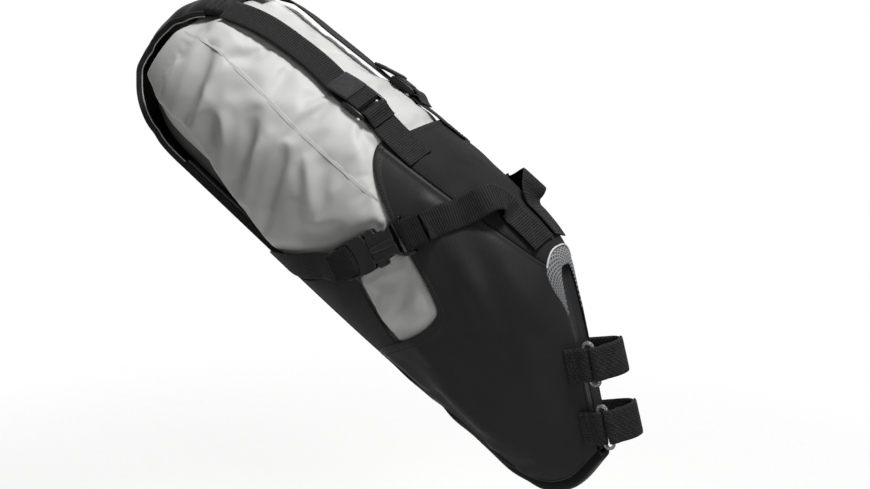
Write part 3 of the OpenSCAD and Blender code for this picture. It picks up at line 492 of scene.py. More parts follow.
# Knitted polyester mesh: silver threads in diamonds 3 mm across, dark between them
def knittedMesh():
    paint, tree, shader = newMaterial("knittedMeshSilver", Roughness=0.5, IOR=1.5)
    spot = node(tree, "ShaderNodeTexCoord")
    turns = [node(tree, "ShaderNodeMapping", {"Rotation": (0, 0, math.radians(way))}, {"Vector": spot.outputs["UV"]})
             for way in (32, -32)]
    waves = [node(tree, "ShaderNodeTexWave", {"Scale": wavePeriod / (2.6 * mm), "Distortion": 0.3},
                  {"Vector": turn.outputs[0]}) for turn in turns]
    knit = node(tree, "ShaderNodeMath", links={0: waves[0].outputs["Fac"], 1: waves[1].outputs["Fac"]},
                operation="MAXIMUM")
    sharp = node(tree, "ShaderNodeMapRange", {"From Min": 0.45, "From Max": 0.85}, {"Value": knit.outputs[0]})
    tone = node(tree, "ShaderNodeMix", {"A": linear("#1d1e20"), "B": linear("#808284")}, {"Factor": sharp.outputs[0]},
                data_type="RGBA")
    tree.links.new(tone.outputs[2], shader.inputs["Base Color"])
    bump = node(tree, "ShaderNodeBump", {"Strength": 0.8, "Distance": 0.6 * mm}, {"Height": sharp.outputs[0]})
    tree.links.new(bump.outputs[0], shader.inputs["Normal"])
    return paint


# Moulded plastic: glossy with a faint flow texture and duller rubbed patches, its grain drawn coarser than life
def mouldedPlastic(name, colour, low, high, **values):
    paint, tree, shader = newMaterial(name, **values)
    spot = node(tree, "ShaderNodeTexCoord")
    flow = node(tree, "ShaderNodeTexNoise", {"Scale": 1 / (8 * mm), "Detail": 4}, {"Vector": spot.outputs["Object"]})
    shader.inputs["Base Color"].default_value = linear(colour)
    gloss = node(tree, "ShaderNodeMapRange", {"To Min": low, "To Max": high}, {"Value": flow.outputs["Fac"]})
    tree.links.new(gloss.outputs[0], shader.inputs["Roughness"])
    grain = node(tree, "ShaderNodeTexNoise", {"Scale": 1 / (1.5 * mm), "Detail": 2}, {"Vector": spot.outputs["Object"]})
    bump = node(tree, "ShaderNodeBump", {"Strength": 0.12, "Distance": 0.1 * mm}, {"Height": grain.outputs["Fac"]})
    tree.links.new(bump.outputs[0], shader.inputs["Normal"])
    return paint


finishes = {
    "coat": coatedNylon("coatedNylonBlack", "#1e1e1f", "#272728", 0.1),
    # Darker copy of the coated nylon for the base and tail strip: its darker colour is painted shade
    "strip": coatedNylon("coatedNylonStripPaintedShade", "#0e0e0f", "#171718", 0.03),
    "weave": wovenPolyester("wovenPolyesterBlack", "#181819", "#2a2a2b"),
    "gusset": wovenPolyester("wovenPolyesterGrey", "#222223", "#363637", pitch=1.3, rough=0.74),
    "bag": coatedPolyester(),
    "web": webbingYarn("polypropyleneWebbing", "#0a0a0b", "#2e2e2f", rib=2.1),
    # Loop face is fuzzy and coarse, binding tape flat and fine
    "loop": webbingYarn("loopFaceWebbing", "#0b0b0c", "#303031", pitch=1.6, rough=0.8, depth=1.0),
    "binding": webbingYarn("bindingTape", "#161617", "#333334", pitch=0.8, depth=0.4),
    "mesh": knittedMesh(),
    # Piping is pale and bright, thread a shade paler than the cloth; on the tail's inner edges it is painted highlight
    "piping": webbingYarn("palePipingAndPaintedHighlight", "#9c9c9c", "#d8d8d8", pitch=0.8, rough=0.45, depth=0.3),
    "thread": webbingYarn("polyesterThread", "#202021", "#404041", pitch=0.4, rough=0.55, depth=0.3),
    # Acetal is a deep glossy black, smoky nylon lets light through and polyethylene sheet is dull
    "acetal": mouldedPlastic("mouldedAcetalBlack", "#0c0c0d", 0.18, 0.28, IOR=1.48, Specular_IOR_Level=0.2),
    "ring": mouldedPlastic("mouldedNylonSmoke", "#8a8a8c", 0.14, 0.24, IOR=1.53, Transmission_Weight=0.6),
    "sheet": mouldedPlastic("polyethyleneSheetBlack", "#1b1b1c", 0.4, 0.55, IOR=1.51),
}
print("finishes made:", len(finishes))

# Holster edges, as in the part's source
holster = {"roofSeam": 34, "baseSeam": 147, "wingEdge": 267, "windowEdge": 130, "windowAngle": 90, "footEdge": 175,
           "gussetEnd": 266, "meshDepth": 28, "meshLow": 76, "tailHalf": 46, "hemHalf": 38, "tailStop": 140,
           "topCut": 10, "gussetTop": 99, "gussetTurn": 119, "gussetTip": (214, 222), "frontGap": 1.5, "hemStep": 1.5,
           "baseTurn": (128, 19)}


def frontEdge(a):
    share = (holster["meshLow"] - np.abs(a)) / (holster["meshLow"] - holster["roofSeam"])
    return holster["frontGap"] + holster["meshDepth"] * ease(share)


def rearEdge(a):
    stop = np.where(a < holster["windowAngle"], holster["roofSeam"], holster["baseSeam"])
    end = np.where(a < holster["windowAngle"], holster["wingEdge"], holster["footEdge"])
    u = np.minimum(np.abs((a - holster["windowAngle"]) / (stop - holster["windowAngle"])), 1)
    return holster["windowEdge"] + (end - holster["windowEdge"]) * np.sin(np.radians(90 * u ** 1.2))


# Rear edge of the top panel, u from side to side
def topEdge(u):
    return holster["wingEdge"] - holster["topCut"] * (1 - u * u)


def finish(piece, body, slot, *nodes):
    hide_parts(*nodes)
    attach(piece, body)
    return piece


# Side panels: coated cloth pulled over the load, soft folds from the buckle towards the chin
sidePanel = {"thick": 1.5, "columns": 150, "rows": 130, "over": 0.2, "hem": 8, "hemRise": 0.6, "quietEdge": 9,
             "deepest": -1.6, "beadHigh": 0.7, "beadIn": 2, "beadWide": 1.6,
             "folds": [([(152, 60), (126, 66), (98, 79), (72, 92)], 6, 12, 0.4),
                       ([(138, 42), (90, 52), (56, 66), (30, 80)], 4.5, 14, 0.3),
                       ([(96, 60), (70, 74), (44, 92), (30, 108)], 3.2, 12, 0.3),
                       ([(128, 96), (104, 104), (78, 112)], -2.4, 11, 0.3),
                       ([(150, 110), (130, 112), (112, 118)], 2.8, 8, 0.4),
                       ([(140, 118), (112, 126), (84, 130), (56, 128)], 4.2, 9, 0.45),
                       ([(170, 140), (150, 136), (132, 140)], 2.6, 6, 0.5),
                       ([(128, 146), (122, 136), (110, 130)], -2.2, 6, 0.4),
                       ([(80, 146), (72, 138), (60, 134)], 3, 6, 0.4),
                       ([(52, 146), (47, 136), (40, 128)], -2.0, 6, 0.4),
                       ([(200, 50), (180, 48), (160, 50)], 2, 8, 0.4)],
             "dents": [(100, 98, -1.6, 40, 26, 20), (60, 104, 1.8, 34, 24, 0), (30, 100, -1.0, 16, 40, 0),
                       (118, 74, 1.2, 22, 16, 30)]}


def sidePanelGrid():
    s = sidePanel
    a = np.linspace(holster["roofSeam"] + 0.6, holster["baseSeam"] - 0.7, s["rows"])[None, :]
    u = np.linspace(0, 1, s["columns"])[:, None] ** 1.2
    t = frontEdge(a) + 0.4 + (rearEdge(a) - frontEdge(a) - 0.4) * u
    return t, a + 0 * t


def panelRise(t, a):
    s = sidePanel
    flat = skin(t, a)
    edge = np.minimum.reduce([t - frontEdge(a), a - holster["roofSeam"], holster["baseSeam"] - a])
    quiet = ease(edge / s["quietEdge"])
    rise = np.maximum((folds(flat, s["folds"]) + dents(flat, s["dents"])) * quiet, s["deepest"])
    rise += s["hemRise"] * ease((t - rearEdge(a) + s["hem"]) / holster["hemStep"])
    return rise + s["beadHigh"] * np.exp(-((a - holster["roofSeam"] - s["beadIn"]) / s["beadWide"]) ** 2)


def makeSidePanels():
    s = sidePanel
    t, a = sidePanelGrid()
    rise = panelRise(t, a)
    outer = on(t, a, rise + s["over"])
    inner = on(t, a, rise + s["over"] - s["thick"])
    for name, flip in (("right", False), ("left", True)):
        piece = sheetObject("sidePanel_" + name, outer, inner, finishes["coat"], mirror=flip)
        finish(piece, "holster", "coated_fabric", "side_panel_" + name)


makeSidePanels()

# Top panel: matte weave between the roof seams, cut forward between two wings
topPanel = {"thick": 1.5, "columns": 110, "rows": 60, "seamGap": 0.6, "hem": 7, "hemRise": 0.5,
            "folds": [([(250, 30), (220, 27), (190, 30)], 1.6, 7, 0.5),
                      ([(240, -30), (210, -26), (185, -30)], 1.6, 7, -0.5),
                      ([(120, 24), (95, 20), (70, 24)], -1.0, 9, 0.3),
                      ([(120, -24), (95, -20), (70, -24)], -1.0, 9, 0.3)],
            "dents": [(200, 0, 1.6, 40, 26, 0), (120, 0, -1.2, 40, 20, 0), (70, 0, 1.0, 22, 14, 0)]}


def topRise(t, a):
    s, flat = topPanel, skin(t, a)
    rear = topEdge(a / (holster["roofSeam"] - s["seamGap"]))
    hem = s["hemRise"] * ease((t - rear + s["hem"]) / holster["hemStep"])
    return folds(flat, s["folds"]) + dents(flat, s["dents"]) + hem


def makeTopPanel():
    s = topPanel
    u = np.linspace(-1, 1, s["rows"])[None, :]
    a = u * (holster["roofSeam"] - s["seamGap"])
    start = holster["meshDepth"] + 1.9
    t = start + (topEdge(u) - start) * np.linspace(0, 1, s["columns"])[:, None]
    a = a + 0 * t
    rise = topRise(t, a)
    outer = on(t, a, rise)
    piece = sheetObject("topPanel", outer, on(t, a, rise - s["thick"]), finishes["weave"])
    finish(piece, "holster", "woven_fabric", "top_panel")


makeTopPanel()

# Nose: silver mesh in a coated frame, with piping along the upper edge of the mesh
noseMesh = {"thick": 1.4, "columns": 16, "rows": 90, "bulge": 0.9, "flatEnds": 40, "sink": 0.1, "gap": 0.4,
            "pipingR": 0.8, "pipingOver": 3, "pipingIn": 1.2, "pipingOut": 0.7, "plateIn": 2, "basePad": 3,
            "plateEdge": [(0.2, 3), (0.2, 0.6), (0.7, 0.1), (1.6, 0.1), (2.2, 0.6), (2.2, 3)]}


# Faces turned so that a closed tube encloses a positive volume
def outward(points, faces):
    p = np.asarray(points, float)
    quads = np.array([f for f in faces if len(f) == 4])
    caps = [f for f in faces if len(f) != 4]
    corners = [p[quads[:, k]] for k in range(4)]
    total = sum(np.sum(np.cross(corners[k], corners[k + 1]) * corners[0]) for k in (1, 2))
    for f in caps:
        ring = p[f]
        total += np.sum(np.cross(ring[1:-1], ring[2:]) * ring[0])
    return faces if total > 0 else [list(f)[::-1] for f in faces]


def tubeFaces(rings, columns):
    ids = np.arange(rings * columns).reshape(rings, columns)
    nxt = np.roll(ids, -1, axis=1)
    faces = np.stack([ids[:-1], nxt[:-1], nxt[1:], ids[1:]], -1).reshape(-1, 4).tolist()
    return faces + [ids[0][::-1].tolist(), ids[-1].tolist()]


def tubeObject(name, path, radius, paint, sides=12):
    path = np.asarray(path, float)
    along = unit(np.gradient(path, axis=0))
    ref = np.array([0.31, 0.17, 0.94])
    x = unit(np.cross(along, ref))
    y = np.cross(along, x)
    w = np.linspace(0, 2 * np.pi, sides, endpoint=False)
    r = np.broadcast_to(np.asarray(radius, float), (len(path),))
    ring = path[:, None] + r[:, None, None] * (x[:, None] * np.cos(w)[:, None] + y[:, None] * np.sin(w)[:, None])
    length = np.concatenate([[0], np.cumsum(np.linalg.norm(np.diff(path, axis=0), axis=-1))])
    uv = np.stack(np.broadcast_arrays(length[:, None], (w * r.mean())[None]), -1).reshape(-1, 2)
    return meshObject(name, ring.reshape(-1, 3), tubeFaces(len(path), sides), paint, uv)


def makeNose():
    s = noseMesh
    a = np.linspace(-holster["meshLow"], holster["meshLow"], s["rows"])[None, :]
    u = np.linspace(0, 1, s["columns"])[:, None]
    t = (frontEdge(a) - s["gap"]) * u
    a = a + 0 * t
    bulge = s["bulge"] * np.sin(np.pi * u) * ease((holster["meshLow"] - np.abs(a)) / s["flatEnds"])
    outer = on(t, a, bulge - s["sink"])
    piece = sheetObject("noseMesh", outer, on(t, a, bulge - s["sink"] - s["thick"]), finishes["mesh"])
    finish(piece, "holster", "mesh_fabric", "front_mesh")
    reach = holster["roofSeam"] + s["pipingOver"]
    w = np.linspace(-reach, reach, 120)
    line = on(frontEdge(w) - s["pipingIn"], w, 0 * w + s["pipingOut"])
    piece = tubeObject("nosePiping", line, s["pipingR"], finishes["piping"])
    finish(piece, "holster", "piping", "mesh_piping")
    w = np.linspace(-180, 180, 97)[:-1]
    depth = s["plateIn"] + s["basePad"] * ramp(np.abs(w), holster["baseTurn"]) + s["gap"]
    rings = np.stack([on(0 * w + q, w, -depth - b) for q, b in s["plateEdge"]])
    n, m = rings.shape[:2]
    ids = np.arange(n * m).reshape(n, m)
    nxt = np.roll(ids, -1, axis=1)
    faces = np.stack([ids[:-1], ids[1:], nxt[1:], nxt[:-1]], -1).reshape(-1, 4).tolist()
    points = np.concatenate([rings.reshape(-1, 3), [rings[0].mean(0), rings[-1].mean(0)]])
    faces += [[int(ids[0, (j + 1) % m]), n * m, int(ids[0, j])] for j in range(m)]
    faces += [[int(ids[-1, j]), n * m + 1, int(ids[-1, (j + 1) % m])] for j in range(m)]
    piece = meshObject("nosePlate", points, faces, finishes["coat"], smooth=False)
    finish(piece, "holster", "coated_fabric", "front_panel")


makeNose()
print("holster panels made")


# Smooth path through points, with the face direction carried along it
def ribbon(points, outs, step):
    p, o = np.asarray(points, float), np.asarray(outs, float)
    d = np.linalg.norm(np.diff(p, axis=0), axis=-1)
    s = np.concatenate([[0], np.cumsum(d)])
    slope = np.diff(p, axis=0) / d[:, None]
    m = np.concatenate([slope[:1], (slope[1:] * d[:-1, None] + slope[:-1] * d[1:, None]) / (d[1:] + d[:-1])[:, None],
                        slope[-1:]])
    q = np.linspace(0, s[-1], max(int(s[-1] / step), 8))
    i = np.clip(np.searchsorted(s, q, side="right") - 1, 0, len(d) - 1)
    h, u = d[i][:, None], ((q - s[i]) / d[i])[:, None]
    v = 1 - u
    path = (p[i] * (1 + 2 * u) * v * v + m[i] * h * u * v * v
            + p[i + 1] * u * u * (3 - 2 * u) - m[i + 1] * h * u * u * v)
    along = unit(np.gradient(path, axis=0))
    out = np.stack([np.interp(q, s, o[:, k]) for k in range(3)], -1)
    out = unit(out - along * np.sum(out * along, -1, keepdims=True))
    run = np.concatenate([[0], np.cumsum(np.linalg.norm(np.diff(path, axis=0), axis=-1))])
    return path, out, np.cross(out, along), run


# Webbing: a flat band along a path, its cross ribs in the mesh
def strapObject(name, points, outs, width, thick, paint, pitch=2.1, depth=0.3, step=0.42, lift=0.0, mirror=False):
    path, out, side, run = ribbon(points, outs, step)
    path = path + out * lift
    flat = np.linspace(-1, 1, 13)
    v = np.concatenate([flat, [1.02], flat[::-1], [-1.02]]) * (width / 2)
    z = np.concatenate([0 * flat + 1, [0], 0 * flat - 1, [0]])
    fade = np.clip((width / 2 - np.abs(v)) / (width * 0.1), 0, 1)
    rib = depth * (np.abs(np.sin(np.pi * run / pitch)) ** 0.8 - 0.5) if depth else 0 * run
    high = z[None] * (thick / 2 * (0.8 + 0.2 * np.minimum(fade * 3, 1))[None] + rib[:, None] * fade[None])
    rings = path[:, None] + side[:, None] * v[None, :, None] + out[:, None] * high[..., None]
    if mirror:
        rings = rings * [1, -1, 1]
    faces = outward(rings.reshape(-1, 3), tubeFaces(*rings.shape[:2]))
    uv = np.stack(np.broadcast_arrays(run[:, None], v[None]), -1).reshape(-1, 2)
    return meshObject(name, rings.reshape(-1, 3), faces, paint, uv)


def surfaceKnots(rows):
    rows = np.array(rows, float)
    return list(on(rows[:, 0], rows[:, 1], rows[:, 2])), list(skinOut(rows[:, 0], rows[:, 1]))


def seatKnots(f, rows):
    return [inSeat(f, x, 0, z) for x, z, slope in rows], [seatFace(f, slope) for x, z, slope in rows]


# Dry bag: coated cloth packed tight; each fold and dent stands where the photograph shows one
dryBag = {"start": 18, "end": 484, "columns": 156, "rows": 140, "inset": 2.6, "baseInset": 8.2, "bulge": 2.6,
          "coverInset": 2.4, "endInset": 6.5, "endTurn": (448, 24), "endRoof": (38, 20), "endSide": 0.85,
          "tailHold": (450, 22), "topHold": (0.7, 15), "sideHold": (0.92, 19),
          "capRings": [0.97, 0.88, 0.7, 0.4], "capBulge": 3, "patternSize": (470, 520),
          "seam": [(483, 52), (467, 52.7), (429, 51), (382, 53.5), (343, 57), (301, 59), (270, 60), (206, 62),
                   (150, 64)],
          "seamWidth": 3.4, "seamThick": 0.36, "seamSink": 1.3, "seamFade": 10,
          "lowEdge": [(262, 147), (290, 134), (310, 127), (329, 121), (353, 115), (377, 108), (394, 102), (420, 99),
                      (470, 98)],
          "lowInset": 14, "lowFree": 14, "lowReach": 18, "lowStop": (150, 12),
          "folds": [([(446, 50), (438, 58), (431, 70), (426, 84), (424, 98), (418, 112)], -10, 8.5, 0.45),
                    ([(454, 66), (450, 84), (446, 100)], 4.5, 8, 0.2),
                    ([(418, 54), (412, 47), (403, 43), (400, 36)], -5.5, 7, 0.3),
                    ([(420, 70), (412, 79), (410, 90), (412, 100)], 6.5, 8, 0.45),
                    ([(405, 84), (396, 92), (390, 100)], -6.5, 7, 0.4),
                    ([(396, 78), (384, 84), (376, 92), (372, 102)], 6.5, 7.5, 0.45),
                    ([(370, 70), (360, 80), (354, 92), (352, 104)], -6.5, 7, 0.4),
                    ([(352, 72), (347, 84), (342, 96), (338, 108)], 6, 7.5, 0.4),
                    ([(332, 68), (325, 78), (320, 90), (314, 108)], -6.8, 7.5, 0.4),
                    ([(313, 66), (304, 70), (293, 76), (282, 84), (274, 92)], 6.5, 7.5, 0.35),
                    ([(296, 90), (284, 98), (272, 106)], -5.2, 7, 0.4),
                    ([(280, 108), (268, 103), (254, 96), (236, 86)], -4.4, 8, 0.3),
                    ([(286, 45), (262, 47), (240, 50)], 2.0, 9, 0.3),
                    ([(176, 84), (166, 92), (160, 104), (158, 114)], -4.2, 8, 0.4),
                    ([(150, 84), (146, 94), (152, 106)], 2.4, 8, 0.3),
                    ([(190, 92), (182, 102), (174, 112)], 2.6, 8, 0.3),
                    ([(462, 42), (440, 37), (424, 38)], 2.4, 9, 0.3),
                    ([(378, 44), (352, 42), (330, 40)], -2.0, 10, 0.3),
                    ([(330, 46), (312, 48), (296, 45)], 1.8, 9, 0.3)],
          "roofFolds": [([(424, 6), (394, 2), (364, 6)], -2.2, 14, 0.3),
                        ([(340, -4), (310, 3), (284, -2)], 2.0, 14, 0.3)],
          "dents": [(346, 63, -1.6, 5, 6, 20), (328, 61.5, -1.6, 5, 6, 0), (309, 62.6, -1.6, 5, 6, 0),
                    (290, 64, -1.6, 5, 6, 0), (271.5, 63, -1.6, 5, 6, 0), (338, 53, 1.0, 5, 6, 0),
                    (320, 54, 1.0, 5, 6, 0), (300, 55, 1.0, 5, 6, 0), (392, 62, -1.8, 11, 7, 40),
                    (374, 60, 1.6, 9, 7, 0), (388, 0, 2.0, 30, 26, 0), (310, 10, -1.4, 14, 18, 0),
                    (205, 80, 1.6, 16, 12, 30), (205, -80, 1.6, 16, 12, 30)]}


# Webbing routes, as in the part's source: surface rows are t, a and height; seat rows are x, z and slope
topRoute = [(454, 26, 2.2), (440, 25, 3.8), (421, 22, 4.6), (387, 19.4, 4.4), (357, 19.4, 3.8), (338, 20.8, 3)]
sideRoute = [(247, 111, 1.3), (260, 121, 1.4), (274, 131.5, 1.5), (284, 140, 1.5), (290, 148, 1.5), (292, 156, 1.5),
             (292, 164, 1.5), (292, 172, 1.5), (292, 179, 1.5)]
buckleRoute = [(165, 52), (182, 65), (204, 82), (225, 97), (247, 111), (274, 131.5)]


# Distance from points to a line of t and a on the skin
def lineGap(points, line):
    knots = np.array(line, float)
    steps = np.linspace(0, len(knots) - 1, 10 * (len(knots) - 1) + 1)
    path = skin(np.interp(steps, range(len(knots)), knots[:, 0]), np.interp(steps, range(len(knots)), knots[:, 1]))
    return np.linalg.norm(points[..., None, :] - path, axis=-1).min(-1)


# Edge of the holster's cover at an angle
def coverEdge(a):
    side = np.abs(a)
    return np.where(side < holster["roofSeam"], holster["wingEdge"] - holster["topCut"],
                    rearEdge(np.maximum(side, holster["roofSeam"])))


# Front and rear edge of the gusset at an angle
def finEdges(a):
    turn, top, foot = holster["gussetTurn"], holster["gussetTop"], holster["baseSeam"]
    tip = rearEdge(np.array(float(turn))) + 0.4
    front = np.where(a > turn, rearEdge(a) + 0.4, tip + (holster["gussetTip"][0] - tip) * (turn - a) / (turn - top))
    return front, holster["gussetEnd"] + (holster["gussetTip"][1] - holster["gussetEnd"]) * (foot - a) / (foot - top)


# Share of the cloth that the gusset covers
def finCover(t, a):
    side = np.abs(a)
    front, rear = finEdges(np.clip(side, holster["gussetTop"], holster["baseSeam"]))
    return ease((side - holster["gussetTop"] + 6) / 6) * ease((t - front + 9) / 6) * ease((rear - t + 7) / 6)


# Where the side of the bag turns in, above the base
def lowTurn(t, a, reach):
    line = np.array(dryBag["lowEdge"], float)
    return ease((np.abs(a) - np.interp(t, line[:, 0], line[:, 1])) / reach)


# How free the cloth is: nothing under the holster, the tail and the base, little under the straps
def bagFree(t, a):
    s, flat = dryBag, skin(t, a)
    free = ease((t - coverEdge(a) + 3) / 16) * (1 - lowTurn(t, a, s["lowFree"])) * (1 - ramp(t, s["tailHold"]))
    free = free * (1 - finCover(t, a))
    for line, (share, wide) in ((topRoute, s["topHold"]), (buckleRoute, s["sideHold"])):
        for way in (1, -1):
            free = free * (1 - share * np.exp(-(lineGap(flat, [(r[0], r[1] * way) for r in line]) / wide) ** 4))
    return free


def bagHeight(t, a, free):
    s = dryBag
    flat, side = skin(t, a), np.abs(a)
    inset = s["inset"] + (s["baseInset"] - s["inset"]) * ramp(side, holster["baseTurn"])
    cover = s["coverInset"] * (1 - ease((t - coverEdge(a) + 12) / 12))
    end = s["endInset"] * ramp(t, s["endTurn"]) * (1 - s["endSide"] * ramp(side, s["endRoof"]))
    fin = s["coverInset"] * finCover(t, a)
    low = s["lowInset"] * lowTurn(t, a, s["lowReach"]) * (1 - ramp(side, s["lowStop"]))
    inset = inset + cover + end + fin + low
    left = [([(x, -y) for x, y in line], high, wide, -skew) for line, high, wide, skew in s["folds"]]
    rise = s["bulge"] * ease((t - coverEdge(a)) / 24) + dents(flat, s["dents"])
    rise = rise + folds(flat, s["folds"] + left + s["roofFolds"])
    return rise * free - inset


# A short cloth run: the shell is let out a little and held where it is covered, so that it buckles as packed cloth
bagCloth = {"frames": 24, "quality": 5, "pressure": 2.2, "letOut": 0.028, "cap": 7.0, "mass": 0.3, "tension": 18,
            "bending": 3.0, "evenRounds": 120, "evenShare": 0.85}


def settle(piece, hold, s):
    start = np.array([v.co for v in piece.data.vertices])
    group = piece.vertex_groups.new(name="held")
    for i, share in enumerate(hold):
        group.add([i], float(share), "REPLACE")
    modifier = piece.modifiers.new("settle", "CLOTH")
    cloth = modifier.settings
    cloth.quality, cloth.mass = s["quality"], s["mass"]
    cloth.tension_stiffness = cloth.compression_stiffness = s["tension"]
    cloth.shear_stiffness, cloth.bending_stiffness = s["tension"] / 3, s["bending"]
    cloth.use_pressure, cloth.uniform_pressure_force = True, s["pressure"]
    cloth.shrink_min = -s["letOut"]
    cloth.vertex_group_mass = "held"
    cloth.effector_weights.gravity = 0
    modifier.collision_settings.use_collision = False
    modifier.point_cache.frame_start, modifier.point_cache.frame_end = 1, s["frames"]
    for step in range(1, s["frames"] + 1):
        scene.frame_set(step)
    made = piece.evaluated_get(bpy.context.evaluated_depsgraph_get()).to_mesh()
    move = np.array([v.co for v in made.vertices]) - start
    piece.modifiers.remove(modifier)
    scene.frame_set(1)
    piece.vertex_groups.clear()
    size = np.linalg.norm(move, axis=-1, keepdims=True)
    cap = s["cap"] * mm
    move = move * (cap * np.tanh(size / cap) / np.maximum(size, 1e-9))
    piece.data.vertices.foreach_set("co", (start + move).ravel().astype(np.float32))
    piece.data.update()
    return (start + move) / mm, float(size.max() / mm)


# The wrinkles of the run are kept and its even swelling is taken out again
def keepWrinkles(before, after, s):
    out = unit(np.cross(np.gradient(before, axis=0), np.roll(before, -1, 1) - np.roll(before, 1, 1)))
    rise = np.sum((after - before) * out, -1)
    even = rise.copy()
    for _ in range(s["evenRounds"]):
        even = (even + np.roll(even, 1, 1) + np.roll(even, -1, 1) + np.concatenate([even[:1], even[:-1]])
                + np.concatenate([even[1:], even[-1:]])) / 5
    return after - out * (s["evenShare"] * even)[..., None]


def refined(piece, levels=1):
    modifier = piece.modifiers.new("refine", "SUBSURF")
    modifier.levels = modifier.render_levels = levels
    made = bpy.data.meshes.new_from_object(piece.evaluated_get(bpy.context.evaluated_depsgraph_get()))
    piece.modifiers.remove(modifier)
    made.name = piece.data.name
    piece.data = made


def makeDryBag():
    s = dryBag
    t = np.linspace(s["start"], s["end"], s["columns"])[:, None]
    a = np.linspace(-180, 180, s["rows"], endpoint=False)[None, :]
    t, a = t + 0 * a, a + 0 * t
    free = bagFree(t, a)
    grid = on(t, a, bagHeight(t, a, free))
    first, last = grid[0].mean(0), grid[-1].mean(0)
    shrink, puff = s["capRings"], s["capBulge"]
    front = [first + (grid[0] - first) * k - unit(grid[8].mean(0) - first) * puff * (1 - k * k) for k in shrink[::-1]]
    rear = [last + (grid[-1] - last) * k + unit(last - grid[-8].mean(0)) * puff * (1 - k * k) for k in shrink]
    caps = len(shrink)
    rings = np.concatenate([np.stack(front), grid, np.stack(rear)])
    faces = outward(rings.reshape(-1, 3), tubeFaces(*rings.shape[:2]))
    length = np.linspace(0, s["patternSize"][0], len(rings))[:, None] + 0 * rings[..., 0]
    uv = np.stack([length, np.linspace(0, s["patternSize"][1], s["rows"])[None] + 0 * length], -1).reshape(-1, 2)
    piece = meshObject("dryBag", rings.reshape(-1, 3), faces, finishes["bag"], uv)
    hold = 1 - np.concatenate([0 * free[:caps], free, 0 * free[:caps]])
    points, far = settle(piece, hold.ravel(), bagCloth)
    print("dry bag settled, farthest point moved mm:", round(far, 2))
    rings = keepWrinkles(rings, points.reshape(rings.shape), bagCloth)
    piece.data.vertices.foreach_set("co", (rings * mm).ravel().astype(np.float32))
    piece.data.update()
    refined(piece)
    finish(piece, "holster", "bag_fabric", "dry_bag")
    line = np.array(s["seam"], float)[::-1]
    t = np.linspace(line[0, 0], line[-1, 0], 240)
    a = np.interp(t, line[:, 0], line[:, 1])
    for name, way in (("right", 1), ("left", -1)):
        row = (t - s["start"]) / (s["end"] - s["start"]) * (s["columns"] - 1) + caps
        col = (a * way + 180) / 360 * s["rows"]
        i, j = row.astype(int), col.astype(int)
        u, v = (row - i)[:, None], (col - j)[:, None]
        points = ((rings[i, j] * (1 - u) + rings[i + 1, j] * u) * (1 - v)
                  + (rings[i, j + 1] * (1 - u) + rings[i + 1, j + 1] * u) * v)
        outs = skinOut(t, a * way)
        sink = s["seamSink"] * np.clip((t - line[-1, 0]) / s["seamFade"] + 1, 0, 1)[:, None]
        piece = strapObject("dryBagSeam_" + name, points + outs * (0.02 - sink), outs, s["seamWidth"], s["seamThick"],
                            finishes["bag"], depth=0, step=1.4)
        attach(piece, "holster")


makeDryBag()
print("dry bag made")

# Rolled closure behind the bag: the bag's mouth folded over on itself
rollClosure = {"thick": 14, "wide": 38, "long": 64, "folds": 3, "foldDepth": 0.05, "square": 0.7, "pinch": 0.3,
               "pinchPower": 8, "flatten": 0.96, "gap": 0.6, "sink": 0.2}


def makeRoll():
    s = rollClosure
    end = np.array(dryBag["end"] - s["sink"])
    back = ribAt(end)
    mid = place(end, 0, (back[1] + back[3]) / 2)
    x = np.array([math.cos(tilt), 0, -math.sin(tilt)])
    z = np.array([math.sin(tilt), 0, math.cos(tilt)])
    y = np.array([0, 1.0, 0])
    w = np.linspace(0, 2 * np.pi, 72, endpoint=False)
    spiral = 1 + s["foldDepth"] * np.sin(w * s["folds"])
    px = s["thick"] / 2 * power(np.cos(w), s["square"]) * spiral
    py = s["wide"] / 2 * power(np.sin(w), s["square"])
    steps = np.linspace(-1, 1, 25)
    grow = (1 - np.abs(steps) ** s["pinchPower"] * s["pinch"])[:, None, None]
    middle = mid - x * (s["gap"] + s["thick"] / 2)
    rings = (middle + px[None, :, None] * x * grow * s["flatten"] + py[None, :, None] * y * grow
             + (steps * s["long"] / 2)[:, None, None] * z)
    faces = outward(rings.reshape(-1, 3), tubeFaces(*rings.shape[:2]))
    piece = meshObject("rollClosure", rings.reshape(-1, 3), faces, finishes["bag"])
    finish(piece, "holster", "bag_fabric", "roll_closure")


makeRoll()

# Base and tail: one padded strip under the bag and round its rear end, bound along both edges
strip = {"thick": 5, "baseRows": 190, "tailRows": 120, "columns": 44, "puff": 1.6, "narrowFrom": 60,
         "tapeFrom": 3, "tapeThick": 1.3, "tapeOver": 1.0, "tapeOut": 1.6, "highlightR": 0.55, "highlightOut": 2.0,
         "puckers": [(122, -1.8, 6), (108, 1.2, 8), (52, -1.8, 6), (66, 1.0, 8), (150, 0.8, 9)],
         "creases": [(34, -0.9, 5, 6), (72, 1.2, 6, -5), (96, -1.2, 4, 4), (112, 1.1, 5, -6), (126, -1.0, 4, 3)]}


def tailEdge(p):
    share = ease((p - strip["narrowFrom"]) / (holster["tailStop"] - strip["narrowFrom"]))
    return holster["tailHalf"] + (holster["hemHalf"] - holster["tailHalf"]) * share


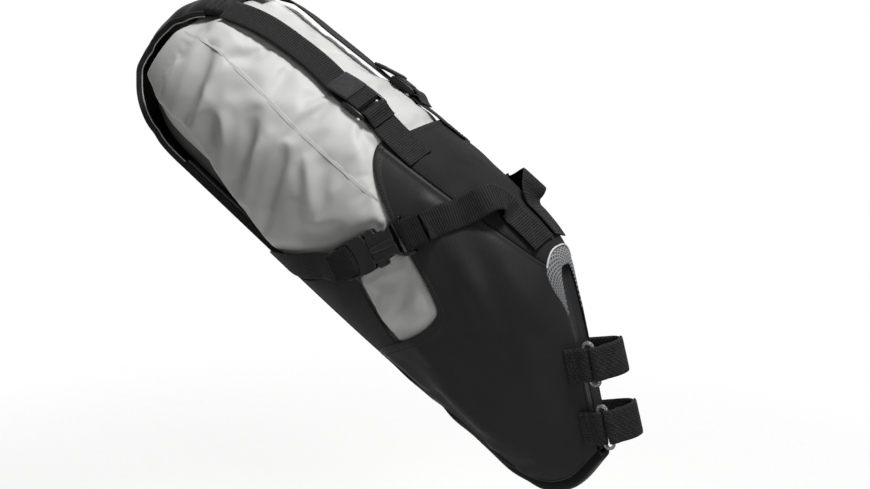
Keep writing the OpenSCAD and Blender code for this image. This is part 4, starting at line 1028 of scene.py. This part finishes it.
def stripGrid(d):
    s = strip
    a = np.linspace(holster["baseSeam"], 360 - holster["baseSeam"], s["columns"])[None, :]
    t = np.linspace(2, domeStart - 1, s["baseRows"])[:, None]
    v = (a - 180) / (180 - holster["baseSeam"])
    soft = np.asarray(d)
    drawn = sum(high * np.exp(-((t - where) / wide) ** 2) for where, high, wide in s["puckers"]) * np.abs(v)
    low = on(t + 0 * a, a + 0 * t, soft + drawn)
    p = np.linspace(0.6, holster["tailStop"], s["tailRows"])[:, None]
    y = tailEdge(p) * (-np.sin(np.radians(a)) / math.sin(math.radians(holster["baseSeam"])))
    slack = sum(rise * np.exp(-((p - where - lean * v) / wide) ** 2) for where, rise, wide, lean in s["creases"])
    high = tailSkin(p, y) + (soft + slack + 0 * v)[..., None] * tailOut(p, y)
    return np.concatenate([low, high])


def makeStrip():
    s = strip
    v = np.linspace(-1, 1, s["columns"])
    outer = stripGrid((s["puff"] * (1 - np.abs(v) ** 4) - 0.2)[None, :])
    inner = stripGrid((-s["thick"] - 0.6 * (1 - np.abs(v) ** 4) + 0.6)[None, :])
    # The strip takes the darker copy of the coated nylon, its darker colour painted shade
    piece = sheetObject("baseStrip", outer, inner, finishes["strip"], edge=0.9)
    finish(piece, "holster", "coated_fabric", "base_panel", "tail_panel")
    for name, col, near in (("right", 0, 1), ("left", -1, -2)):
        mid = (outer[:, col] + inner[:, col]) / 2
        outs = unit(mid - (outer[:, near] + inner[:, near]) / 2)
        path, face = (mid + outs * s["tapeOut"])[s["tapeFrom"]:], outs[s["tapeFrom"]:]
        piece = strapObject("stripTape_" + name, path, face, s["thick"] + s["tapeOver"], s["tapeThick"],
                            finishes["binding"], depth=0.05, pitch=1.6, step=0.8)
        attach(piece, "holster")
        # Pale tube along the tail's inner edge: painted highlight, standing in for light catching that edge
        line = inner[s["baseRows"]:, col] + outs[s["baseRows"]:] * s["highlightOut"]
        piece = tubeObject("stripEdgeHighlight_" + name, line, s["highlightR"], finishes["piping"], sides=8)
        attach(piece, "holster")


makeStrip()

# Hem at the end of the tail, stitched into three channels
tailHem = {"gap": 0.3, "turn": 13, "high": 3, "columns": 26, "rows": 40, "channels": (0.36, 0.68), "channelDepth": 1.5,
           "channelWide": 0.05}


def makeHem():
    s = tailHem
    u = np.linspace(0, 1, s["columns"])[:, None]
    v = np.linspace(-1, 1, s["rows"])[None, :]
    p = holster["tailStop"] + s["gap"] + s["turn"] * u + 0 * v
    y = holster["hemHalf"] * v + 0 * u
    out = tailOut(p, y)
    sunk = s["channelDepth"] * sum(np.exp(-((u - w) / s["channelWide"]) ** 2) for w in s["channels"])
    high = s["high"] * (0.75 + 0.25 * (1 - np.abs(v) ** 6)) - sunk
    piece = sheetObject("tailHem", tailSkin(p, y) + high[..., None] * out, tailSkin(p, y) - strip["thick"] * out,
                        finishes["web"], edge=0.6)
    finish(piece, "holster", "webbing", "tail_hem")


makeHem()

# Pull loop in front of the hem: each row is its place along and off the bag, then the way its face looks
pullLoop = {"width": 20, "thick": 1.5, "gap": 0.4,
            "rows": [(0.4, -0.5, (0, -1)), (9, 0.6, (0.1, -1)), (16.5, 1.9, (0.3, -1)), (19.6, 3.4, (0.8, -0.6)),
                     (20.2, 5.2, (1, 0.2)), (18.2, 7.2, (0.4, 1)), (9, 4.9, (-0.2, 1)), (0.4, 2.5, (-0.2, 1))]}


def makePullLoop():
    s = pullLoop
    end = holster["tailStop"] + tailHem["gap"] + tailHem["turn"]
    x = unit(tailSkin(end + 1, 0) - tailSkin(end - 1, 0))
    z = tailOut(np.array(end), np.array(0.0))
    o = tailSkin(end, 0) + z * tailHem["high"] + x * s["gap"]
    points = [o + x * a + z * b for a, b, c in s["rows"]]
    outs = [x * c[0] + z * c[1] for a, b, c in s["rows"]]
    piece = strapObject("pullLoop", points, outs, s["width"], s["thick"], finishes["web"])
    finish(piece, "loop", "webbing", "pull_loop")


makePullLoop()

# Gussets: woven fins between base and window
gusset = {"thick": 1.5, "columns": 40, "rows": 46, "folds": [([(250, 140), (230, 125), (214, 108)], 1.6, 9, 0.3)]}


def gussetGrid():
    a = np.linspace(holster["gussetTop"], holster["baseSeam"] - 0.9, gusset["rows"])[None, :]
    front, rear = finEdges(a)
    t = front + (rear - front) * np.linspace(0, 1, gusset["columns"])[:, None]
    return t, a + 0 * t


def makeGussets():
    t, a = gussetGrid()
    rise = folds(skin(t, a), gusset["folds"])
    outer, inner = on(t, a, rise), on(t, a, rise - gusset["thick"])
    for name, flip in (("right", False), ("left", True)):
        piece = sheetObject("gussetCloth_" + name, outer, inner, finishes["gusset"], mirror=flip)
        finish(piece, "holster", "woven_fabric", "gusset_" + name)


makeGussets()
print("base, tail and gussets made")

# Straps: flat webbing, folded back on itself where it turns round a bar; each top strap has a doubled, sewn end
webbing = {"width": 25, "thick": 1.5, "endThick": 1.9, "endOver": 0.6,
           "endSeat": [(-9, 8.7, 180), (-14, 8.4, 176), (-20, 7.6, 170), (-26, 6.5, 168), (-32, 5.3, 168)]}
topSeat = [(-21, 1.1, 0), (-10, 1.1, 0), (0, 1.1, 0), (2.4, 1.3, 20), (3.3, 2.1, 60), (3.6, 4.2, 90), (3.3, 6.3, 120),
           (2.4, 7.1, 160), (0, 7.3, 180), (-10, 7.3, 180), (-20, 6.1, 170), (-31, 3.9, 168)]
anchorRoute = [(226, 25.5, 1.15), (240, 25.2, 1.15), (254, 24.6, 1.3), (266, 24, 1.9)]
railRoute = [(168, 54.5, 1.15), (158, 46, 1.15), (148, 38.5, 1.8), (141, 33, 6), (134.5, 27.5, 12), (127, 21.5, 15),
             (119, 16.5, 12), (110, 13.4, 5.5), (101, 12.6, 1.4), (88, 12.6, 1.2), (66, 13, 1.2), (46, 14, 1.2)]


# Half a turn of webbing round a bar, in seat rows
def turnRows(x, z, radius, first, step, slope):
    turns = [(math.radians(first + step * w), slope + step * w) for w in range(7)]
    return [(x + radius * math.cos(w), z + radius * math.sin(w), face) for w, face in turns]


anchorSeat = [(19, 0.7, 0)] + turnRows(11, 4.2, 3.1, -90, -30, 0) + [(15, 6.4, 145), (19, 4.2, 150), (22, 2.9, 165),
                                                                     (24.5, 2.4, 178)]
railSeat = [(-48, 5.3, 176), (-40, 7.2, 166)] + turnRows(-31, 5.6, 3.1, 90, -30, 180) + [(-38, 1.9, 0)]
sideSeat = [(43.5, 7.3, 172), (31.5, 8.7, 180)] + turnRows(22.5, 5.6, 3.1, 90, 30, 180) + [(31.5, 2.5, 360),
                                                                                         (37.5, 1.9, 366)]


def joinKnots(*parts):
    return sum((p[0] for p in parts), []), sum((p[1] for p in parts), [])


def negated(knots):
    return knots[0], [-o for o in knots[1]]


strapKnots = {}
lockBend = inSeat(lockSeat, -46, 0, 2), inSeat(lockSeat, -10, 0, 3)


# A strap's placement is baked into its mesh
def follow(piece, body, start, end):
    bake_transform(piece)


def makeStraps():
    w, h = webbing["width"], webbing["thick"]
    top = joinKnots(surfaceKnots(topRoute), seatKnots(lockSeat, topSeat))
    anchor = joinKnots(surfaceKnots(anchorRoute), seatKnots(lockSeat, anchorSeat))
    rail = joinKnots(seatKnots(buckleSeat, railSeat), negated(surfaceKnots(railRoute)))
    side = joinKnots(seatKnots(buckleSeat, sideSeat), surfaceKnots(sideRoute))
    end = seatKnots(lockSeat, webbing["endSeat"])
    strapKnots.update(anchor=anchor, rail=rail, side=side, end=end)
    for name, mirror in (("right", False), ("left", True)):
        piece = strapObject("topStrap_" + name, *top, w, h, finishes["web"], mirror=mirror)
        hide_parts("top_strap_" + name)
        follow(piece, "lock_" + name, *lockBend)
        piece = strapObject("strapEnd_" + name, *end, w + webbing["endOver"], webbing["endThick"], finishes["binding"],
                            depth=0.04, step=1.2, mirror=mirror)
        follow(piece, "lock_" + name, *lockBend)
        piece = strapObject("strapAnchor_" + name, *anchor, w, h, finishes["web"], mirror=mirror)
        finish(piece, "holster", "webbing", "strap_anchor_" + name)
        piece = strapObject("railStrap_" + name, *rail, w, h, finishes["web"], mirror=mirror)
        finish(piece, "holster", "webbing", "rail_strap_" + name)
        piece = strapObject("sideStrap_" + name, *side, w, h, finishes["web"], mirror=mirror)
        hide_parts("side_strap_" + name)
        follow(piece, "plug_" + name, on(284, 140, 1.5), inSeat(buckleSeat, 46, 0, 3))


makeStraps()
print("straps made")

# Post straps: hook-and-loop bands through an oval ring
post = {"pitch": 54, "width": 28, "thick": 1.5, "strapR": 16.25, "flapR": 18.2, "ringY": -19.65, "ringRear": -5,
        "ringFront": 3.4, "eye": 2.65, "back": -24, "lie": (18.6, 16.4), "ribs": {"pitch": 2.4, "depth": 0.2},
        "midway": -12, "clear": 0.8, "tabMidway": -14, "tabOut": 2.4, "tabFold": 2.0, "tabIn": 1.2,
        "strapTurn": (-60, 90, 10), "flapTurn": (304, 408, 8), "eyeTurn": (70, 250, 30), "tabTurn": (-95, 95, 30)}
postLean = math.radians(bag["postLean"])
postUp = np.array([-math.sin(postLean), 0, math.cos(postLean)])
postFore = np.array([math.cos(postLean), 0, math.sin(postLean)])


def postKnots(q, rows):
    points = [postUp * q + postFore * x + np.array([0, y, 0]) for x, y, angle in rows]
    turns = [math.radians(angle) for x, y, angle in rows]
    return points, [postFore * math.cos(w) + np.array([0, math.sin(w), 0]) for w in turns]


def arc(r, first, last, step, x=0.0, y=0.0, face=0):
    count = max(int(abs(last - first) / step), 1)
    return [(x + r * math.cos(math.radians(w)), y + r * math.sin(math.radians(w)), w + face)
            for w in np.linspace(first, last, count + 1)]


def postBand(name, knots):
    return strapObject(name, *knots, post["width"], post["thick"], finishes["loop"], **post["ribs"])


def makePost():
    s = post
    for name, q, lie in (("upper", s["pitch"] / 2, s["lie"][0]), ("lower", -s["pitch"] / 2, s["lie"][1])):
        lay = [(s["midway"], (s["strapR"] + lie + s["clear"]) / 2, 90), (s["back"], lie + s["clear"], 90)]
        piece = postBand("postStrap_" + name, postKnots(q, arc(s["strapR"], *s["strapTurn"]) + lay))
        finish(piece, "holster", "loop_fabric", "post_strap_" + name)
        flap = arc(s["eye"], *s["eyeTurn"], s["ringFront"], s["ringY"])
        flap = flap + [(s["ringFront"] + 2.5, s["ringY"] - 1.6, 282)] + arc(s["flapR"], *s["flapTurn"])
        piece = postBand("postFlap_" + name, postKnots(q, flap))
        finish(piece, "flap_" + name, "loop_fabric", "post_flap_" + name)
        tab = ([(s["back"], -lie - s["tabOut"], -90),
                (s["tabMidway"], (s["ringY"] - s["eye"] - lie - s["tabFold"]) / 2, -90)]
               + arc(s["eye"], *s["tabTurn"], s["ringRear"], s["ringY"])
               + [(s["tabMidway"], (s["ringY"] - lie) / 2 + s["tabIn"], 95), (s["back"], -lie - s["clear"], 90)])
        strapKnots["tab_" + name] = postKnots(q, tab)
        piece = postBand("postTab_" + name, strapKnots["tab_" + name])
        finish(piece, "holster", "loop_fabric", "post_tab_" + name)


makePost()


# Moulded plate from flat outlines, the first one outer and the rest holes, with rounded edges
def plate(outlines, low, high, edge):
    curve = bpy.data.curves.new("plate", "CURVE")
    curve.dimensions, curve.fill_mode = "2D", "BOTH"
    curve.extrude, curve.bevel_depth, curve.bevel_resolution = (high - low) / 2 - edge, edge, 3
    curve.offset = -edge
    for outline in outlines:
        spline = curve.splines.new("POLY")
        spline.points.add(len(outline) - 1)
        spline.points.foreach_set("co", [c for x, y in outline for c in (x, y, 0, 1)])
        spline.use_cyclic_u = True
    holder = bpy.data.objects.new("plate", curve)
    scene.collection.objects.link(holder)
    made = bpy.data.meshes.new_from_object(holder.evaluated_get(bpy.context.evaluated_depsgraph_get()))
    bpy.data.objects.remove(holder)
    work = bmesh.new()
    work.from_mesh(made)
    bmesh.ops.remove_doubles(work, verts=work.verts, dist=1e-4)
    bmesh.ops.recalc_face_normals(work, faces=work.faces)
    points = np.array([v.co for v in work.verts]) + [0, 0, (low + high) / 2]
    faces = [[v.index for v in f.verts] for f in work.faces]
    work.free()
    bpy.data.meshes.remove(made)
    bpy.data.curves.remove(curve)
    return points, faces


# Closed outline with its corners rounded off
def rounded(line, rounds=2):
    line = np.array(line, float)
    for _ in range(rounds):
        nxt = np.roll(line, -1, axis=0)
        line = np.stack([line * 0.78 + nxt * 0.22, line * 0.22 + nxt * 0.78], 1).reshape(-1, 2)
    return line.tolist()


def flipped(half):
    return [(x, -y) for x, y in half[::-1]]


# Top face of a plate raised along its middle, or dished where crown is below zero
def crowned(part, half, crown):
    points, faces = part
    low, high = points[:, 2].min(), points[:, 2].max()
    share = (points[:, 2] - low) / (high - low)
    points = points.copy()
    aside = (points[:, 1] / half) ** 2
    points[:, 2] -= share * (crown * aside if crown > 0 else -crown * (1 - aside))
    return points, faces


def box(x0, x1, half):
    return [(x0, half), (x1, half), (x1, -half), (x0, -half)]


# Bar across a buckle, or a rib along it
def rod(start, end, radius, sides=20, ends=0.25):
    start, end = np.array(start, float), np.array(end, float)
    way = unit(end - start)
    steps = [0, ends * radius, np.linalg.norm(end - start) - ends * radius, np.linalg.norm(end - start)]
    x = unit(np.cross(way, [0.3, 0.2, 0.93]))
    y = np.cross(way, x)
    w = np.linspace(0, 2 * np.pi, sides, endpoint=False)
    rings = np.stack([start + way * step + r * (np.cos(w)[:, None] * x + np.sin(w)[:, None] * y)
                      for step, r in zip(steps, (radius * 0.75, radius, radius, radius * 0.75))])
    points = rings.reshape(-1, 3)
    return points, outward(points, tubeFaces(*rings.shape[:2]))


# One object from parts in a seat's frame
def moulded(name, parts, f, paint, mirror=False):
    points, faces = [], []
    for part, made in parts:
        base = sum(len(p) for p in points)
        points.append(f[0] + part[:, :1] * f[1] + part[:, 1:2] * f[2] + part[:, 2:3] * f[3])
        faces += [[i + base for i in face] for face in made]
    points = np.concatenate(points)
    if mirror:
        points, faces = points * [1, -1, 1], [face[::-1] for face in faces]
    piece = meshObject(name, points, faces, paint)
    piece.data.set_sharp_from_angle(angle=math.radians(32))
    return piece


# Side-release buckle: a crowned socket with a waist, horns and a centre rib, and a plug with a dished shoulder
buckle = {"barR": 2.0, "barZ": 5.6, "low": 0.5, "high": 10.3, "half": 16.4, "plugHalf": 15.4, "crown": 2.2, "dish": 2.4,
          "bodyIn": 0.2, "plugLow": 1.2, "plugIn": 0.4, "hornHalf": 2.8, "railHalf": 2.5, "spineR": 4.0, "gripR": 1.4,
          "spine": [(1.2, 0, 9.0), (-22.2, 0, 8.4)], "grip": [(-7, 9.4, 8.5), (1.2, 9.4, 8.5)], "socketBar": (-31, 15),
          "plugBars": [(22.5, 14), (31.5, 14)], "tongue": (-12.4, 3.2, 1.8), "tongueLow": 3.8, "tongueHigh": 7.0,
          "body": [(2.3, 15.4), (1.2, 16.4), (-5, 16.5), (-6.8, 15.6), (-7.4, 12.4), (-10, 10.4), (-14, 9.8),
                   (-17.5, 10.8), (-20, 13), (-22.2, 13.8)],
          "horn": [(-13, 8.6), (-15.5, 9.9), (-18.5, 11.6), (-21.4, 14.4), (-25, 16.4), (-30, 16.9), (-34, 17.2),
                   (-35.2, 16), (-34.2, 13.8), (-29, 13.2), (-22.9, 13.1), (-21.6, 9)],
          "shoulder": [(2.9, 15.0), (9, 15.8), (15.5, 16.1), (19.4, 15.4), (20, 12.6), (18.8, 6)],
          "rail": [(13, 15.6), (20, 16), (28, 15.5), (32.4, 15), (33.8, 14), (33.2, 13.1), (24, 13), (13, 13)]}


def makeBuckles():
    s, mid = buckle, buckle["barZ"]
    body, shoulder = [rounded(s[half] + flipped(s[half])) for half in ("body", "shoulder")]
    bars = [rod((x, -half, mid), (x, half, mid), s["barR"]) for x, half in [s["socketBar"]] + s["plugBars"]]
    grips = [rod(*[(x, y * way, z) for x, y, z in s["grip"]], s["gripR"]) for way in (1, -1)]
    socket = [crowned(plate([body], s["low"] + s["bodyIn"], s["high"] - s["bodyIn"], 1.4), s["half"], s["crown"]),
              rod(*s["spine"], s["spineR"], 28, 0.4)] + grips + bars[:1]
    for half in (s["horn"], flipped(s["horn"])):
        socket.append(plate([rounded(half)], mid - s["hornHalf"], mid + s["hornHalf"], 1.3))
    plug = [crowned(plate([shoulder], s["plugLow"], s["high"] - s["plugIn"], 1.5), s["plugHalf"], -s["dish"]),
            plate([box(*s["tongue"])], s["tongueLow"], s["tongueHigh"], 0.5)] + bars[1:]
    for half in (s["rail"], flipped(s["rail"])):
        plug.append(plate([rounded(half)], mid - s["railHalf"], mid + s["railHalf"], 1.0))
    for name, mirror in (("right", False), ("left", True)):
        piece = moulded("buckleSocket_" + name, socket, buckleSeat, finishes["acetal"], mirror)
        finish(piece, "holster", "gloss_plastic", "buckle_socket_" + name)
        piece = moulded("bucklePlug_" + name, plug, buckleSeat, finishes["acetal"], mirror)
        finish(piece, "plug_" + name, "gloss_plastic", "buckle_plug_" + name)


makeBuckles()

# Ladder locks: rounded side rails, a bar for the anchor, a bar and a cross plate for the strap
ladderLock = {"railIn": 12.9, "railOut": 15.0, "barPlaces": (11, 0), "barHalf": 14, "barZ": 4.2, "barR": 2.0,
              "rail": [(-12, 2.6), (-11.6, 6.2), (-8, 7.2), (2, 7.4), (9, 7), (13.2, 6), (13.6, 3.4), (11, 1.9),
                       (0, 1.1), (-8, 0.9)],
              "crossPlate": (-11.4, -7.1), "plateLow": 2.3, "plateHigh": 6.1}


def makeLocks():
    s = ladderLock
    parts = []
    for way in (1, -1):
        points, faces = plate([rounded(s["rail"])], s["railIn"], s["railOut"], 0.7)
        turned = np.stack([points[:, 0], points[:, 2] * way, points[:, 1]], -1)
        parts.append((turned, faces if way < 0 else [f[::-1] for f in faces]))
    for x in s["barPlaces"]:
        parts.append(rod((x, -s["barHalf"], s["barZ"]), (x, s["barHalf"], s["barZ"]), s["barR"]))
    parts.append(plate([box(*s["crossPlate"], s["barHalf"])], s["plateLow"], s["plateHigh"], 0.6))
    for name, mirror in (("right", False), ("left", True)):
        piece = moulded("ladderLock_" + name, parts, lockSeat, finishes["acetal"], mirror)
        finish(piece, "lock_" + name, "gloss_plastic", "ladder_lock_" + name)


makeLocks()
print("buckles and locks made")

# Stitches: small capsules of thread set along sewing lines by Geometry Nodes
sewing = {"pitch": 3.0, "length": 1.05, "radius": 0.36, "lift": 0.12, "hemRows": (2.0, 6.2), "seamIn": 3.0, "topIn": 4,
          "boxIn": 3, "barIn": 2, "anchorBox": (3, 23), "railBox": (-4, -26), "railBars": (-30, -56),
          "railFold": (3, 6, 11), "tabBox": (1.5, 9), "tabIn": 2.5, "sideFold": (2.5, 8), "endBars": (2.5, -2.5)}


def stitchTree():
    tree = bpy.data.node_groups.new("stitchRows", "GeometryNodeTree")
    face = tree.interface
    face.new_socket("Geometry", in_out="INPUT", socket_type="NodeSocketGeometry")
    for label, value in (("Pitch", sewing["pitch"]), ("Half length", sewing["length"]), ("Radius", sewing["radius"])):
        made = face.new_socket(label, in_out="INPUT", socket_type="NodeSocketFloat")
        made.default_value = value * mm
    face.new_socket("Thread", in_out="INPUT", socket_type="NodeSocketMaterial")
    face.new_socket("Geometry", in_out="OUTPUT", socket_type="NodeSocketGeometry")
    given = node(tree, "NodeGroupInput")
    dots = node(tree, "GeometryNodeCurveToPoints", mode="LENGTH",
                links={"Curve": given.outputs["Geometry"], "Length": given.outputs["Pitch"]})
    ball = node(tree, "GeometryNodeMeshUVSphere", {"Segments": 7, "Rings": 5, "Radius": 1.0})
    way = node(tree, "FunctionNodeAlignRotationToVector", links={"Vector": dots.outputs["Tangent"]}, axis="Z")
    size = node(tree, "ShaderNodeCombineXYZ", links={0: given.outputs["Radius"], 1: given.outputs["Radius"],
                                                     2: given.outputs["Half length"]})
    sown = node(tree, "GeometryNodeInstanceOnPoints",
                links={"Points": dots.outputs["Points"], "Instance": ball.outputs["Mesh"],
                       "Rotation": way.outputs[0], "Scale": size.outputs[0]})
    whole = node(tree, "GeometryNodeRealizeInstances", links={0: sown.outputs[0]})
    soft = node(tree, "GeometryNodeSetShadeSmooth", links={0: whole.outputs[0]})
    dressed = node(tree, "GeometryNodeSetMaterial",
                   links={"Geometry": soft.outputs[0], "Material": given.outputs["Thread"]})
    node(tree, "NodeGroupOutput", links={"Geometry": dressed.outputs[0]})
    return tree


stitchGroup = stitchTree()


def stitchObject(name, rows):
    curve = bpy.data.curves.new(name, "CURVE")
    curve.dimensions = "3D"
    for row in rows:
        row = np.asarray(row, float) * mm
        spline = curve.splines.new("POLY")
        spline.points.add(len(row) - 1)
        spline.points.foreach_set("co", np.concatenate([row, np.ones((len(row), 1))], 1).ravel())
    holder = bpy.data.objects.new(name, curve)
    scene.collection.objects.link(holder)
    modifier = holder.modifiers.new("stitches", "NODES")
    modifier.node_group = stitchGroup
    sockets = {item.name: item.identifier for item in stitchGroup.interface.items_tree if item.in_out == "INPUT"}
    modifier[sockets["Thread"]] = finishes["thread"]
    modifier[sockets["Pitch"]] = sewing["pitch"] * mm
    made = bpy.data.meshes.new_from_object(holder.evaluated_get(bpy.context.evaluated_depsgraph_get()))
    bpy.data.objects.remove(holder)
    made.name = name
    piece = bpy.data.objects.new(name, made)
    scene.collection.objects.link(piece)
    return piece


# Sewing line on a strap: places along it and across it, from its start, or from its end where negative
def onStrap(knots, line, lift, thick, mirror=False):
    path, out, side, run = ribbon(knots[0], knots[1], 0.8)
    line = np.array([(s if s >= 0 else run[-1] + s, v) for s, v in line], float)
    far = np.concatenate([[0], np.cumsum(np.linalg.norm(np.diff(line, axis=0), axis=-1))])
    q = np.linspace(0, far[-1], max(int(far[-1]), 2))
    s, v = np.interp(q, far, line[:, 0]), np.interp(q, far, line[:, 1])
    pick = [np.stack([np.interp(s, run, field[:, k]) for k in range(3)], -1) for field in (path, out, side)]
    points = pick[0] + pick[2] * v[:, None] + pick[1] * (thick / 2 + lift)
    return points * ([1, -1, 1] if mirror else [1, 1, 1])


def boxCross(first, last, half):
    return [[(first, -half), (last, -half), (last, half), (first, half), (first, -half)],
            [(first, -half), (last, half)], [(first, half), (last, -half)]]


def straightAcross(far, half):
    return [(far, -half), (far, half)]


def makeStitches():
    rows = []
    for way in (1, -1):
        flip = np.array([1, way, 1])
        a = np.linspace(holster["roofSeam"] + 2, holster["baseSeam"] - 2, 170)
        for inward in sewing["hemRows"]:
            t = rearEdge(a) - inward * (1 + 0.5 * np.abs(np.gradient(rearEdge(a), a)) / 6)
            rows.append(on(t, a, panelRise(t, a) + sidePanel["over"] + sewing["lift"]) * flip)
        t = np.linspace(holster["meshDepth"] + 6, holster["wingEdge"] - 6, 170)
        a = 0 * t + holster["roofSeam"] - sewing["seamIn"]
        rows.append(on(t, a, topRise(t, a) + sewing["lift"]) * flip)
    u = np.linspace(-1, 1, 80)
    t = topEdge(u) - sewing["topIn"]
    a = u * (holster["roofSeam"] - 2)
    rows.append(on(t, a, topRise(t, a) + sewing["lift"]))
    sunk = tailHem["high"] * 0.98 - tailHem["channelDepth"] + sewing["lift"]
    for u in tailHem["channels"]:
        y = np.linspace(-holster["hemHalf"] + 2, holster["hemHalf"] - 2, 70)
        p = holster["tailStop"] + tailHem["gap"] + tailHem["turn"] * u + 0 * y
        rows.append(tailSkin(p, y) + tailOut(p, y) * sunk)
    thick, lift, half = webbing["thick"], sewing["lift"], webbing["width"] / 2
    boxHalf, barHalf = half - sewing["boxIn"], half - sewing["barIn"]
    for mirror in (False, True):
        for line in boxCross(*sewing["anchorBox"], boxHalf):
            rows.append(onStrap(strapKnots["anchor"], line, lift, thick, mirror))
        bars = [straightAcross(far, boxHalf) for far in sewing["railBars"]]
        for line in boxCross(*sewing["railBox"], boxHalf) + bars:
            rows.append(onStrap(negated(strapKnots["rail"]), line, lift, thick, mirror))
        for far in sewing["railFold"]:
            rows.append(onStrap(strapKnots["rail"], straightAcross(far, barHalf), lift, thick, mirror))
    for name in ("upper", "lower"):
        for line in boxCross(*sewing["tabBox"], post["width"] / 2 - sewing["tabIn"]):
            rows.append(onStrap(strapKnots["tab_" + name], line, lift, post["thick"]))
    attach(stitchObject("holsterStitches", rows), "holster")
    for name, mirror in (("right", False), ("left", True)):
        rows = [onStrap(strapKnots["side"], straightAcross(far, barHalf), lift, thick, mirror)
                for far in sewing["sideFold"]]
        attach(stitchObject("sideStitches_" + name, rows), "plug_" + name)
        rows = [onStrap(negated(strapKnots["end"]), straightAcross(far, barHalf), lift, webbing["endThick"], mirror)
                for far in sewing["endBars"]]
        follow(stitchObject("lockStitches_" + name, rows), "lock_" + name, *lockBend)


makeStitches()
print("stitches made")

# Hard pieces keep their CAD shape and take a moulded finish
hardware = {"release_arm": "acetal", "post_ring": "ring", "base_stiffener": "sheet"}
for nodeName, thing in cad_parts.items():
    for start, paintName in hardware.items():
        if nodeName.startswith(start):
            for slot in thing.material_slots:
                slot.material = finishes[paintName]
print("hardware finished")
